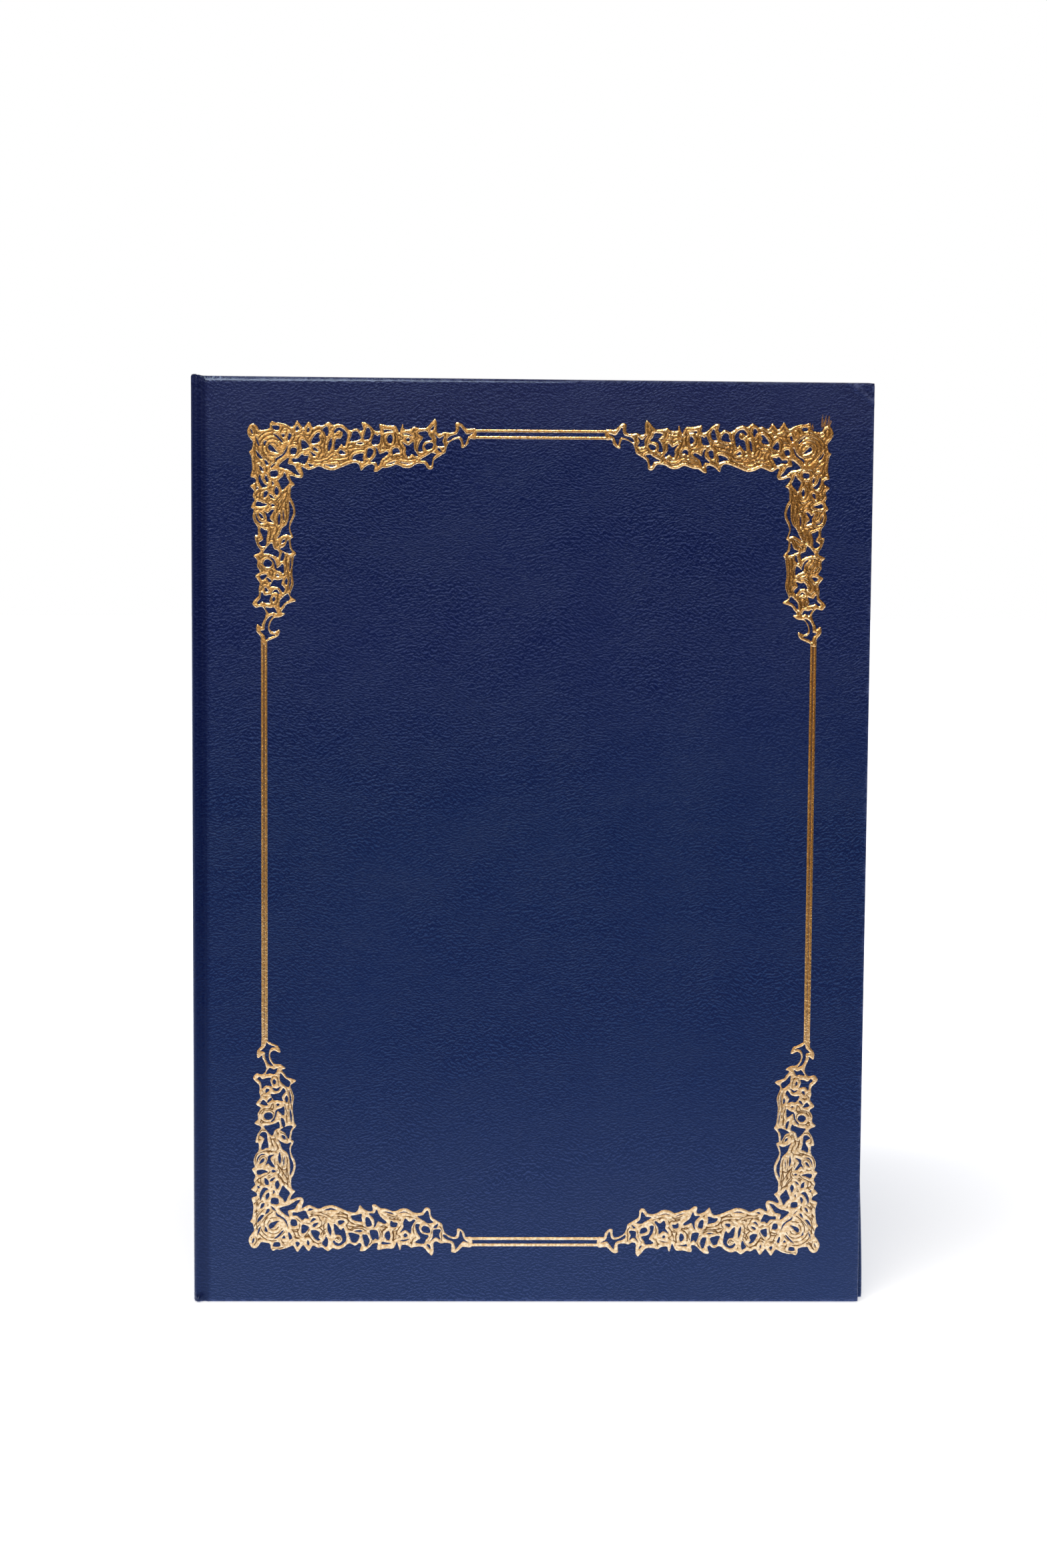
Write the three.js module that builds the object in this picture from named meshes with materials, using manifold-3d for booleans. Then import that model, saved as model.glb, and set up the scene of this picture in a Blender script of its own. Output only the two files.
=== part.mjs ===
// A certificate holder in A4 size: two leatherette-covered boards joined by a narrow spine, closed and
// standing on its lower edge. Millimetres, Z up. The front cover looks towards -Y and the spine lies on the
// -X side, so that the covers open like a book about two upright joints. The origin is the middle of the
// closed holder's foot.
import * as THREE from "three";
import Module from "manifold-3d";
import { mergeVertices } from "three/addons/utils/BufferGeometryUtils.js";

const wasm = await Module();
wasm.setup();
const { Manifold } = wasm;

// Driving sizes
const HEIGHT = 312;
const WIDTH = 226;
const BOARD = 2;
const LEATHER = 0.5;
const CARD = 0.7;
const RIBBON = 0.25;
const GLUE = 0.05;
const CONTENT_ROOM = 0.7;
const FOIL = 0.12;
const EDGE_ROUND = 0.8;
const CORNER_ROUND = 1.6;
const TURN_IN = 15;
const PANEL_MARGIN = 4;
const PANEL_SETBACK = 3;
const PANEL_EDGE_ROUND = 0.2;
const PANEL_CORNER_ROUND = 1;
const SPINE_CARD = 1;
const SPINE_ROUND = 2;
const JOINT_WIDTH = 5;
const GROOVE_DEPTH = 0.5;
const JOINT_LAP = 3;
const JOINT_SHY = 0.3;
const BOARD_GAP = 0.2;
const CARD_PLAY = 0.3;
const LINING = 0.3;
const LINING_LAP = 10;
const LINING_PLAY = 0.6;
const LINING_SHY = 0.5;
const SPLIT = 0.1;
const RIBBON_WIDTH = 13;
const RIBBON_REACH = 46;
const RIBBON_TAIL = 8;
const FRAME_INSET_SPINE = 19.1;
const FRAME_INSET_EDGE = 19;
const FRAME_INSET_TOP = 18;
const FRAME_INSET_FOOT = 20.9;
const RULE_WIDTH = 0.95;
const RULE_PITCH = 2.2;
const SIDE_RULE_WIDTH = 0.9;
const SIDE_RULE_PITCH = 1.1;
const LEVEL_ARM = 70.2;
const UPRIGHT_ARM = 69.9;
const SMALLEST_CELL = 1.5;
const OUTLINE_FINENESS = 0.28;
const SEAT_GAP = 0.01;
const SEAM_GAP = 0.1;

// Sizes that follow from them
const POCKET = GLUE + BOARD + GLUE;
const SLAB = LEATHER + POCKET + LEATHER;
const FRONT_STACK = SLAB + GLUE + CARD;
const TAIL_ROOM = RIBBON + 2 * GLUE;
const BACK_STACK = SLAB + TAIL_ROOM + CARD + GLUE + RIBBON;
const DEPTH = FRONT_STACK + CONTENT_ROOM + BACK_STACK;
const LEFT = -WIDTH / 2;
const FRONT = -(DEPTH + FOIL) / 2 + FOIL;
const BACK = FRONT + DEPTH;
const PANEL_LEFT = JOINT_WIDTH + PANEL_SETBACK;
const BOARD_LEFT = JOINT_WIDTH + BOARD_GAP;
const HALF_SPLIT = SPLIT / 2 / SPINE_ROUND;

// How far a cutting body passes the piece that it cuts
const OVERCUT = 1;

// Colours
const INK = "#1d2a5c";
const GREYBOARD = "#9a958c";
const IVORY = "#efe9da";
const CLOTH = "#e6dfce";
const SATIN = "#22306a";
const GOLD = "#d9ae6b";

const group = new THREE.Group();
group.name = "certificate_holder";

// One corner of the stamped border, from the crossing of its two rules: the first number runs along the
// level arm, the second along the upright arm. The four outlines follow each other round the piece, and each
// cell is an opening in it. The drawing has arms of these lengths, and is stretched to the arms asked for.
const DRAWN_LEVEL_ARM = 70.2;
const DRAWN_UPRIGHT_ARM = 69.9;
const CREST = [[70, -1.7], [67, -1.8], [65.6, -3.1], [64.4, -3.8], [63.2, -3.5], [63.2, -2.2], [63, -0.7],
  [61.2, -0.4], [59.6, -0.6], [58.2, 0], [57.1, -0.6], [57.1, -3.4], [56.5, -4.8], [55.4, -3.9],
  [53.4, -1.9], [50.8, -1.9], [49.6, -2.2], [48.3, -1.4], [46.4, -1.3], [46, -2.6], [45.6, -2.9],
  [45.2, -1.6], [44.7, -0.2], [44.1, -1.4], [43.3, -2.5], [41, -2.5], [38.5, -3], [38, -2.4],
  [38.2, -0.7], [36.6, -0.9], [35.2, -2.3], [33.6, -3.4], [32.2, -3.3], [32.7, -1.4], [32, -0.6],
  [30.6, -1.5], [28.5, -0.8], [26.6, -2.2], [24.6, -2.9], [23, -2.5], [21.3, -3.5], [19.4, -2.3],
  [18, -2.4], [16.2, -1.7], [14.8, -3.5], [13.1, -1.6], [12, -2.6], [11, -3.8], [9.9, -2.2], [9.2, -1.7],
  [7.2, -2.6], [5, -3.1], [4, -3], [2.7, -3.5], [2, -2.6], [1.6, -1.1], [-1.2, -0.6], [-2.2, -1.9],
  [-3.4, -2.7], [-4.6, -2.2], [-5.4, -0.6], [-5.4, 0.8], [-4.6, 2.2], [-3.8, 3.2]];
const OUTER_SIDE = [[-3.7, 4.2], [-4.1, 5.8], [-4.9, 6.6], [-4.3, 7.8], [-4, 10], [-3.9, 12.4],
  [-4.4, 14.2], [-4.2, 14.9], [-2.8, 15.5], [-2.8, 16.5], [-3.9, 17.2], [-4.5, 17.9], [-3.3, 19.4],
  [-3.7, 21], [-3.2, 22.5], [-4.2, 24.4], [-4.2, 25], [-3.4, 25.7], [-3.8, 27.7], [-3.1, 29.8],
  [-2.1, 31.4], [-2.1, 33.8], [-3.1, 34.2], [-2.5, 36.8], [-1.2, 39.3], [-3.4, 40.7], [-2.3, 42.1],
  [-2.3, 44.2], [-1.4, 46.1], [-2.9, 47.4], [-1.5, 49.6], [-1.8, 51.5], [-1.8, 53.8], [-3.2, 55.3],
  [-3.9, 56.6], [-2.7, 57.9], [-0.8, 57.6], [0.5, 59.2], [0.3, 61], [-0.7, 63.2], [-0.9, 64.2],
  [-1.9, 63.4], [-2.5, 63.6], [-2.5, 65.7], [-1.2, 67.4], [-0.95, 69.6]];
const INNER_SIDE = [[0.95, 69.6], [1.2, 69], [2.8, 68.2], [4.6, 67.3], [5.3, 65.5], [4.8, 65.2],
  [3.2, 65.9], [2, 65.1], [2, 63.4], [3.2, 61.4], [5.4, 61], [7, 59.8], [5.8, 59.2], [6.8, 57.8],
  [7.6, 56.7], [10.2, 55.8], [10.4, 55.2], [9, 54.2], [8.7, 53.3], [9.8, 50], [9.4, 46.4], [9.9, 41.4],
  [10.6, 39.9], [9.3, 38.2], [8.9, 35.3], [9.7, 34.5], [8.9, 32.4], [8.8, 30.8], [10.2, 27.6],
  [10.4, 25.6], [9.7, 23], [8.9, 21.4], [9.1, 18.3], [10.2, 17.3], [9.2, 16], [8.6, 14.6]];
const INNER_EDGE = [[9.2, 14.4], [11, 15], [12.5, 15], [13.1, 13.8], [12.5, 11.8], [12.8, 11.4],
  [14.7, 12.4], [16.4, 11.9], [18.3, 11.2], [20.6, 12.1], [23, 12.4], [25.4, 11.5], [28.3, 10.3],
  [30.4, 9.9], [31.5, 10.8], [32.1, 12.4], [33.6, 11.1], [35.4, 10.3], [36.5, 10.8], [36.3, 12.5],
  [37.4, 12.7], [39.2, 11.5], [41, 11.3], [43.8, 10.4], [46, 11.3], [48.2, 11.3], [50.4, 10.1],
  [52.8, 10], [54.1, 11.5], [54.9, 11.8], [55.9, 11.2], [56.3, 8.8], [58.4, 7.2], [59.9, 6.2],
  [60.4, 4.4], [61.3, 2.8], [63.2, 1.8], [64.4, 1.7], [65, 2.8], [65.1, 4.4], [66.2, 4.4], [67.5, 3.2],
  [68, 1.7], [70, 1.5]];
const CELLS = [
  // the ring and the rose at the corner
  [[-4.3, -0.9], [-3.8, -0.2], [-3.6, 0.8], [-4.1, 0.3]],
  [[-2.5, 1.9], [-1.9, 3.2], [-1.4, 4.8], [-2.2, 3.8]],
  [[-2.5, 6.3], [-1.4, 7.4], [-0.4, 8.7], [-1.2, 8.8], [-2.2, 7.6]],
  [[0.2, 9.3], [1, 9.7], [1.6, 10.7], [0.8, 10.8]],
  [[-1.5, 11.2], [-0.6, 11.8], [-0.2, 12.9], [-1.1, 12.6]],
  [[1.4, 5.2], [1.9, 4.2], [3, 4.9], [4, 6.1], [4.8, 6.8], [3.4, 6.6], [2, 6]],
  [[0, 3.5], [0.9, 3], [0.6, 3.9], [0.2, 4.7]],
  [[3.1, 0.6], [4.7, 1.4], [6.1, 3], [6, 3.5], [4.4, 1.9]],
  [[7.8, 4.6], [7.3, 6.7], [6.4, 7.8], [4.4, 9.2], [3.9, 10], [4, 8.7], [5.9, 7.6], [6.9, 6.4]],
  [[3.7, 10.4], [2.9, 11.4], [2.2, 11.9], [2.7, 11]],
  // the crest along the top of the level arm
  [[2.9, -2], [5, -1.9], [4.8, -0.7], [3.2, -0.8]],
  [[5.9, 0.9], [6.9, 0.8], [6.5, 1.7]],
  [[8.3, 0.6], [9.1, 0.9], [8.8, 2], [8.2, 2.8], [7.9, 2.4]],
  [[10.4, -0.7], [11, -2], [11.7, -0.9], [11, -0.5]],
  [[14.3, -0.7], [14.7, -1.5], [15, -0.7], [14.5, 0.1]],
  [[12.4, 3.2], [13, 2.6], [14.1, 3.4], [14.8, 4.7], [13.6, 5.4], [12.6, 5.4]],
  [[8.8, 5.9], [9.5, 5.1], [10.8, 5.5], [10.4, 7.2], [9, 7.2]],
  [[15.7, 3], [16.7, 1.2], [17.9, 0.2], [18.6, 0.5], [18.1, 1.3], [18.5, 2.6], [17.6, 3.5], [16, 3.6]],
  [[19.4, -0.8], [20.4, -1.9], [21.1, -1.6], [21.3, 0.2], [20.7, 1.3], [20.1, 0.2]],
  [[22.3, 2], [22.4, 3.8], [21.9, 5.5], [21.3, 6.1], [21.3, 4], [21.8, 2.6]],
  [[23.1, -0.3], [24.2, -1.5], [25.7, -1.4], [27.3, 0.1], [27.4, 1.6], [26.9, 3.8], [26.4, 4.5],
   [25.6, 3.8], [24.3, 5.3], [23.4, 5.8], [23.5, 3.6], [24, 2.2], [25.4, 1.9], [26.1, 0.6], [25.4, -0.6],
   [24.2, -0.4], [23.5, 0.3]],
  [[24.8, 6.7], [25.4, 5.7], [26.9, 6.8], [25.6, 7.1]],
  [[16.2, 5.4], [16.8, 4.9], [18, 6.1], [17, 6.1]],
  [[15.4, 6.5], [16.3, 6.9], [17.2, 7.5], [16.3, 7.8]],
  [[9.6, 8.7], [11.2, 8.6], [12.6, 7.3], [13.4, 7.8], [14.7, 7.8], [14.2, 9.2], [13.4, 10.4], [11.2, 9.8],
   [9.7, 9.8]],
  [[5, 11.2], [6.2, 9.8], [8.2, 8.5], [7.9, 10.4], [9.8, 11], [10.8, 12.5], [11.9, 14.1], [10.4, 13.8],
   [8.4, 12.4], [6.3, 11.8]],
  [[2.2, 13.1], [3.4, 12.7], [4.5, 12.9], [4.5, 14.4], [3.4, 14.8], [2.3, 14.6]],
  [[14.7, 10.4], [16.3, 10.9], [15.2, 11.2]],
  [[20.2, 10.6], [22.4, 10.8], [24.2, 10.7], [22.2, 11.3]],
  // the middle and the end of the level arm
  [[28.4, 2.6], [28.9, 1.2], [29.4, -0.2], [30.8, -0.4], [31.9, 1.4], [31.5, 2.2], [29.4, 2.8]],
  [[33, 1.9], [33.6, -0.6], [34, -1.6], [34.7, -1.6], [35.3, 0.2], [34.6, 2], [33.7, 2.2]],
  [[36.1, 1.3], [36.7, 0.4], [37.4, 1], [38.3, 0.5], [38.4, 1.8], [37.8, 3.6], [35.6, 3.6]],
  [[39.7, -1], [41.4, -1], [42.6, -0.6], [41, -0.5], [39.8, -0.2]],
  [[40.6, 1.9], [41.2, 0.8], [41.9, 0.5], [42.4, 1.7], [42, 3.4], [41, 3]],
  [[30.4, 3.5], [32, 3.2], [33, 3.5], [32, 3.8]],
  [[45.9, 0.3], [47.4, 0.1], [49, 0.9], [47.4, 0.5]],
  [[47, 2.1], [47.6, 1.5], [48.2, 2.1], [47.6, 2.7]],
  [[45.9, 3.2], [47.7, 4], [49.3, 2.9], [49.6, 5.2], [50.8, 7.2], [50.2, 7.5], [48.9, 6.8], [47.6, 7.8],
   [46.9, 6.5], [47, 5]],
  [[42.6, 5.3], [44.2, 5], [44.8, 6.3], [43.6, 6.5], [42.7, 7]],
  [[34.3, 5.5], [35.2, 5.1], [36.1, 5.9], [35.2, 8], [34.1, 8]],
  [[29.3, 8.2], [30.2, 7.3], [32.6, 6.8], [32.6, 8.2], [32.6, 9.4], [30.6, 8.9], [29.3, 8.8]],
  [[36.8, 4.8], [37.5, 5.4], [38.2, 6.9], [39.2, 6.6], [40.5, 6.1], [41, 6.8], [38.9, 8.6], [37.8, 10.8],
   [37, 9.6], [35.3, 9.5], [36.8, 7.8], [37.1, 6.2]],
  [[40.4, 10.3], [43.4, 9.3], [42.4, 10]],
  [[45.2, 9.6], [47.4, 9.9], [49.4, 9.4], [47.2, 10.2]],
  [[51, -0.1], [52, -0.6], [53.8, -0.6], [54.4, 0.6], [55.3, 2], [53, 2.8], [52.2, 4.4], [52.4, 5.8],
   [51, 5.8], [51.4, 3.4], [52.6, 1.4], [51.8, 0.6]],
  [[53.1, 4.2], [54.2, 3.2], [55.8, 3.2], [55.4, 4.8], [53.8, 5.3]],
  [[54.9, -1.2], [56, -2.5], [55.9, -1.5], [55.3, -1]],
  [[56.2, 0.2], [57.8, 1.5], [59.4, 0.8], [58.9, 2.4], [59.4, 4], [57.1, 3.9], [57, 1.8]],
  [[57.1, 5], [58, 4.8], [58.6, 6.2]],
  [[51.8, 8.7], [54, 7.2], [55.3, 6.4], [56.9, 6.8], [55.8, 8], [55.3, 10.4], [54.6, 10.4], [53.6, 9.1]],
  [[60.4, 2.1], [61.4, 0.9], [63.6, 0.1], [64.4, -1.4], [64.7, -2.5], [66.4, -0.4], [67.3, 0.1],
   [69, -0.3], [67.4, 0.9], [66.6, 3], [66, 3.6], [65.5, 1.5], [64.4, 0.9], [62.6, 1.4], [60.9, 2.5]],
  // the upper half of the upright arm
  [[-1.4, 14], [-0.9, 15.4], [0, 17], [1.1, 17.8], [-0.3, 18.3], [-1.3, 17], [-1.7, 15.4]],
  [[0.7, 14.3], [1.4, 15.6], [1.2, 16.6], [0.3, 15.6]],
  [[2.8, 16.3], [3.3, 17], [2.9, 17.4]],
  [[6.9, 13.5], [7.7, 15.2], [8.3, 16.6], [7, 18.2], [6.1, 19], [5.3, 17.3], [4.9, 15.9], [6.2, 14.6]],
  [[-2.3, 18.1], [-1.7, 18.6], [-2.4, 18.9]],
  [[4.1, 18], [4.9, 19.4], [4.3, 20.8], [3.5, 19.7]],
  [[0.3, 19.6], [1.2, 19.5], [1.1, 20.8], [0, 21.7], [0, 20.4]],
  [[1.7, 20.6], [2.6, 20.9], [3.4, 21.9], [2.3, 21.5]],
  [[-2.6, 23.8], [-2.1, 22.9], [-0.2, 23.5], [1, 23.9], [-0.6, 24.5], [-2.3, 24.4]],
  [[2.4, 24.2], [2.8, 23.7], [3.7, 24.1], [2.9, 24.5]],
  [[0.3, 26.2], [1.2, 26.8], [2.4, 25.7], [3.3, 25.8], [1.9, 28.3], [3.2, 29.8], [1.3, 29.3], [1, 28]],
  [[-1.7, 26.7], [-0.4, 27.6], [-0.3, 28.5], [-1.2, 28]],
  [[-2.7, 26.9], [-2.2, 28.2], [-1.4, 29.4], [0.1, 29.8], [-1.2, 30], [-2.4, 28.8]],
  [[5.1, 26.8], [5.4, 28.6], [5, 30.7], [4.6, 28.6]],
  [[6.4, 26], [6.7, 29.2], [6.3, 27.8]],
  [[8.4, 22.8], [9.5, 25], [9.5, 27], [8.5, 29.6], [8.3, 32.2], [8.8, 34], [7.4, 33.6], [5.6, 34.3],
   [4.4, 35.1], [5.2, 33.8], [6, 31.8], [7.6, 30.2], [8.3, 27.8], [8.5, 25]],
  [[-0.9, 31.6], [0.2, 32.2], [1.2, 32.6], [0.8, 35], [0.6, 37.2], [-0.6, 37.6], [-1.7, 36.5],
   [-0.2, 35.3], [-1.1, 33]],
  // the lower half of the upright arm
  [[6.9, 35.2], [6.8, 36.2], [5.8, 36.6], [6.1, 35.7]],
  [[2.5, 36.6], [3.3, 38.4], [4.9, 39.3], [4.6, 41.2], [3.4, 40.6], [1.2, 40], [-0.1, 39.8], [0.6, 38.4]],
  [[8, 35.5], [8.5, 38], [9.3, 39.6], [7.8, 39.8], [5.4, 38.5], [6.8, 37.6]],
  [[6.3, 39.5], [6.8, 40.4], [6.4, 42], [5.5, 42.4], [5.8, 40.6]],
  [[-0.2, 43.2], [0.4, 42.2], [1.4, 42], [2.4, 42.5], [2.7, 43.3], [2.2, 44.2], [1, 44.4], [0.1, 44]],
  [[2, 41.1], [3.2, 41.8], [4, 43.6], [4.4, 44.8], [6.3, 43.5], [6.5, 46.4], [5.4, 45.9], [3.8, 45.1],
   [3.3, 43], [2.3, 41.7]],
  [[9, 41.2], [9, 43.6], [8.5, 46], [8.6, 43.4]],
  [[4.4, 46.7], [4.9, 47.4], [4.1, 47.4]],
  [[-1.3, 47.5], [0.4, 46.9], [0.9, 47.3], [-0.4, 48.7]],
  [[1, 47.9], [2.3, 48.8], [2.1, 49.5], [1.2, 48.8]],
  [[2.1, 50.8], [3.2, 48.8], [4.6, 48.8], [6.1, 48.5], [5.7, 50], [6.9, 51.6], [6.2, 52.8], [5, 51.3],
   [3.4, 50.8]],
  [[7.5, 48], [7.8, 49.2], [7.4, 50.3], [6.9, 49.2]],
  [[8.7, 47.4], [8.9, 49.4], [8.2, 52.2], [8.5, 49.6]],
  [[0.4, 51.2], [1.5, 52.3], [0.5, 52.5]],
  [[2.8, 53], [3.4, 52.1], [4.4, 52], [5.2, 53.4], [4, 52.7]],
  [[-0.8, 52.8], [0.2, 53.8], [1.6, 53.7], [2.3, 53.6], [1.8, 55.4], [2, 56.4], [0.6, 56.3], [-0.6, 55.9],
   [-1.6, 56.7], [-2.3, 56.1], [-1.2, 54.8]],
  [[2.8, 55], [3.4, 54.2], [3.7, 55.2], [3.1, 55.9]],
  [[5.6, 55.1], [7.8, 53.3], [8.5, 55], [7, 56.2], [5.4, 57.9], [5.2, 56.4]],
  [[0.5, 57.8], [2, 58], [3.4, 57.9], [4.2, 59.7], [3, 59.3], [1.6, 59.7]],
  [[0.5, 62.8], [1.4, 61.3], [2.9, 60.6], [1.6, 62.8], [1.4, 65.2], [2.2, 66.6], [3.7, 66.9], [1.4, 67.9],
   [0.7, 68.5], [0.1, 67], [-1.1, 65.7], [0.1, 65.2], [0.2, 64]],
];

// Helpers
function solid(geometry) {
  const plain = geometry.clone();
  plain.deleteAttribute("normal");
  plain.deleteAttribute("uv");
  const welded = mergeVertices(plain, 1e-5);
  return new Manifold(new wasm.Mesh({
    numProp: 3,
    vertProperties: new Float32Array(welded.attributes.position.array),
    triVerts: new Uint32Array(welded.index.array),
  }));
}

function geometryOf(body) {
  const mesh = body.getMesh();
  const geometry = new THREE.BufferGeometry();
  geometry.setAttribute("position", new THREE.BufferAttribute(new Float32Array(mesh.vertProperties), 3));
  geometry.setIndex(new THREE.BufferAttribute(new Uint32Array(mesh.triVerts), 1));
  geometry.computeVertexNormals();
  return geometry;
}

function add(name, body, color, roughness, metalness = 0) {
  const geometry = body.isBufferGeometry ? body : geometryOf(body);
  const material = new THREE.MeshStandardMaterial({ color, roughness, metalness, flatShading: true });
  const mesh = new THREE.Mesh(geometry, material);
  mesh.name = name;
  group.add(mesh);
}

function block(x0, x1, y0, y1, z0, z1) {
  const geometry = new THREE.BoxGeometry(x1 - x0, y1 - y0, z1 - z0);
  geometry.translate((x0 + x1) / 2, (y0 + y1) / 2, (z0 + z1) / 2);
  return geometry;
}

// A plate with its outline in X and Z, and its thickness along Y
function plate(outline, y0, y1) {
  const shape = new THREE.Shape(outline.map(([x, z]) => new THREE.Vector2(x, z)));
  const geometry = new THREE.ExtrudeGeometry(shape, { depth: y1 - y0, bevelEnabled: false });
  geometry.rotateX(Math.PI / 2);
  geometry.translate(0, y1, 0);
  return geometry;
}

// A strip with its profile in X and Y, running up Z
function strip(profile, z0, z1) {
  const shape = new THREE.Shape(profile.map(([x, y]) => new THREE.Vector2(x, y)));
  const geometry = new THREE.ExtrudeGeometry(shape, { depth: z1 - z0, bevelEnabled: false });
  geometry.translate(0, 0, z0);
  return geometry;
}

// A slab with rounded edges all round and rounded corners in its outline
function softSlab(x0, x1, y0, y1, z0, z1, round, corner, steps) {
  const [a, b, c, d] = [x0 + round, x1 - round, z0 + round, z1 - round];
  const r = Math.max(corner - round, 0.05);
  const shape = new THREE.Shape();
  shape.moveTo(a + r, c);
  shape.lineTo(b - r, c);
  shape.absarc(b - r, c + r, r, -Math.PI / 2, 0);
  shape.lineTo(b, d - r);
  shape.absarc(b - r, d - r, r, 0, Math.PI / 2);
  shape.lineTo(a + r, d);
  shape.absarc(a + r, d - r, r, Math.PI / 2, Math.PI);
  shape.lineTo(a, c + r);
  shape.absarc(a + r, c + r, r, Math.PI, Math.PI * 1.5);
  const geometry = new THREE.ExtrudeGeometry(shape, {
    depth: y1 - y0 - 2 * round,
    bevelThickness: round,
    bevelSize: round,
    bevelSegments: steps,
    curveSegments: 3,
  });
  geometry.rotateX(Math.PI / 2);
  geometry.translate(0, y1 - round, 0);
  return geometry;
}

// The outline of a band: a path without its first and last points, which only give the direction of its two
// ends, and the same stretch moved sideways by the band's thickness
function band(path, thickness) {
  const outer = path.slice(1, -1);
  const inner = outer.map(([x, q], i) => {
    const [ax, aq] = path[i];
    const [bx, bq] = path[i + 2];
    const length = Math.hypot(bx - ax, bq - aq);
    return [x - (bq - aq) / length * thickness, q + (bx - ax) / length * thickness];
  });
  return outer.concat(inner.reverse());
}

// From distances off the spine's face and off one cover's outer face to the frame's X and Y
const onFront = ([x, q]) => [LEFT + x, FRONT + q];
const onBack = ([x, q]) => [LEFT + x, BACK - q];

// Points round the spine's corner, from one angle to another, with the cover's face at a quarter turn. It
// starts one step early, for the direction of the band's end.
function cornerArc(from, to, steps) {
  const points = [];
  for (let i = -1; i <= steps; i++) {
    const turn = from + (to - from) * i / steps;
    points.push([SPINE_ROUND * (1 - Math.cos(turn)), SPINE_ROUND * (1 - Math.sin(turn))]);
  }
  return points;
}

// Leatherette of one cover: the outer face, the turned-in edges, and its half of the joint with the
// pressed groove
function jointPath() {
  const path = cornerArc(Math.PI / 4 + HALF_SPLIT, Math.PI / 2, 4);
  const steps = 6;
  for (let i = 1; i <= steps; i++) {
    const t = i / steps;
    const dip = GROOVE_DEPTH * (1 - Math.cos(2 * Math.PI * t)) / 2;
    path.push([SPINE_ROUND + (JOINT_WIDTH - SPINE_ROUND) * t, dip]);
  }
  path.push([JOINT_WIDTH + JOINT_LAP, 0], [JOINT_WIDTH + JOINT_LAP + OVERCUT, 0]);
  return path;
}

function coverLeatherette(onSide) {
  const y = (q) => onSide([0, q])[1];
  const span = (q0, q1) => [Math.min(y(q0), y(q1)), Math.max(y(q0), y(q1))];
  const through = span(-OVERCUT, SLAB + OVERCUT);
  const right = LEFT + WIDTH;
  const far = LEFT - CORNER_ROUND;
  const left = LEFT + JOINT_WIDTH + SEAM_GAP;
  const outer = solid(softSlab(far, right, ...span(0, SLAB), 0, HEIGHT, EDGE_ROUND, CORNER_ROUND, 3));
  const kept = solid(block(left, right + OVERCUT, ...through, -OVERCUT, HEIGHT + OVERCUT));
  const inside = span(LEATHER, LEATHER + POCKET);
  const pocket = solid(block(far - OVERCUT, right - LEATHER, ...inside, LEATHER, HEIGHT - LEATHER));
  const open = span(LEATHER, SLAB + OVERCUT);
  const window = solid(block(far - OVERCUT, right - TURN_IN, ...open, TURN_IN, HEIGHT - TURN_IN));
  const joint = solid(strip(band(jointPath(), LEATHER).map(onSide), JOINT_SHY, HEIGHT - JOINT_SHY));
  return outer.intersect(kept).subtract(pocket).subtract(window).add(joint);
}

function coverBoard(onSide) {
  const ys = [onSide([0, LEATHER + GLUE])[1], onSide([0, LEATHER + GLUE + BOARD])[1]].sort((p, q) => p - q);
  const edge = LEATHER + GLUE;
  return block(LEFT + BOARD_LEFT, LEFT + WIDTH - edge, ...ys, edge, HEIGHT - edge);
}

function liningPanel(onSide, q0) {
  const ys = [onSide([0, q0])[1], onSide([0, q0 + CARD])[1]].sort((p, q) => p - q);
  const m = PANEL_MARGIN;
  const rounds = [PANEL_EDGE_ROUND, PANEL_CORNER_ROUND];
  return softSlab(LEFT + PANEL_LEFT, LEFT + WIDTH - m, ...ys, m, HEIGHT - m, ...rounds, 1);
}

const LINING_ENDS = [TURN_IN + LINING_SHY, HEIGHT - TURN_IN - LINING_SHY];

// The inside cloth of a joint: over the groove, up the board's edge and under the lining panel
function hingeLining(onSide) {
  const floor = LEATHER + GROOVE_DEPTH + GLUE;
  const top = LEATHER + GLUE + BOARD + GLUE;
  const edge = BOARD_LEFT - GLUE;
  const end = PANEL_LEFT + LINING_LAP;
  const start = SPINE_ROUND + LINING_PLAY;
  const profile = [
    [start, floor],
    [edge, floor],
    [edge, top],
    [end, top],
    [end, top + LINING],
    [edge - LINING, top + LINING],
    [edge - LINING, floor + LINING],
    [start, floor + LINING],
  ];
  return strip(profile.map(onSide), ...LINING_ENDS);
}

// Front cover
add("front_board", coverBoard(onFront), GREYBOARD, 0.95);
add("front_leatherette", coverLeatherette(onFront), INK, 0.5);
add("front_lining_panel", liningPanel(onFront, SLAB + GLUE), IVORY, 0.8);
add("front_hinge_lining", hingeLining(onFront), CLOTH, 0.85);

// Spine
const SPINE_EDGE = SPINE_ROUND + CARD_PLAY;
const CARD_FACE = LEATHER + GLUE + SPINE_CARD + GLUE;
const frontCorner = cornerArc(Math.PI / 4 - HALF_SPLIT, 0, 4);
const spinePath = frontCorner.concat(frontCorner.map(([x, q]) => [x, DEPTH - q]).reverse());
const spineSides = [FRONT + SPINE_EDGE, BACK - SPINE_EDGE];
let spineLeatherette = solid(strip(band(spinePath, -LEATHER).map(onFront), 0, HEIGHT));
const flapBack = LEFT + CARD_FACE + LEATHER;
for (const [wall, fold] of [
  [[HEIGHT - LEATHER, HEIGHT], [HEIGHT - TURN_IN, HEIGHT]],
  [[0, LEATHER], [0, TURN_IN]],
]) {
  const cap = block(LEFT + SEAM_GAP, flapBack, ...spineSides, ...wall);
  const flap = block(LEFT + CARD_FACE, flapBack, ...spineSides, ...fold);
  spineLeatherette = spineLeatherette.add(solid(cap)).add(solid(flap));
}
add("spine_leatherette", spineLeatherette, INK, 0.5);
const cardEdge = LEATHER + GLUE;
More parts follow.
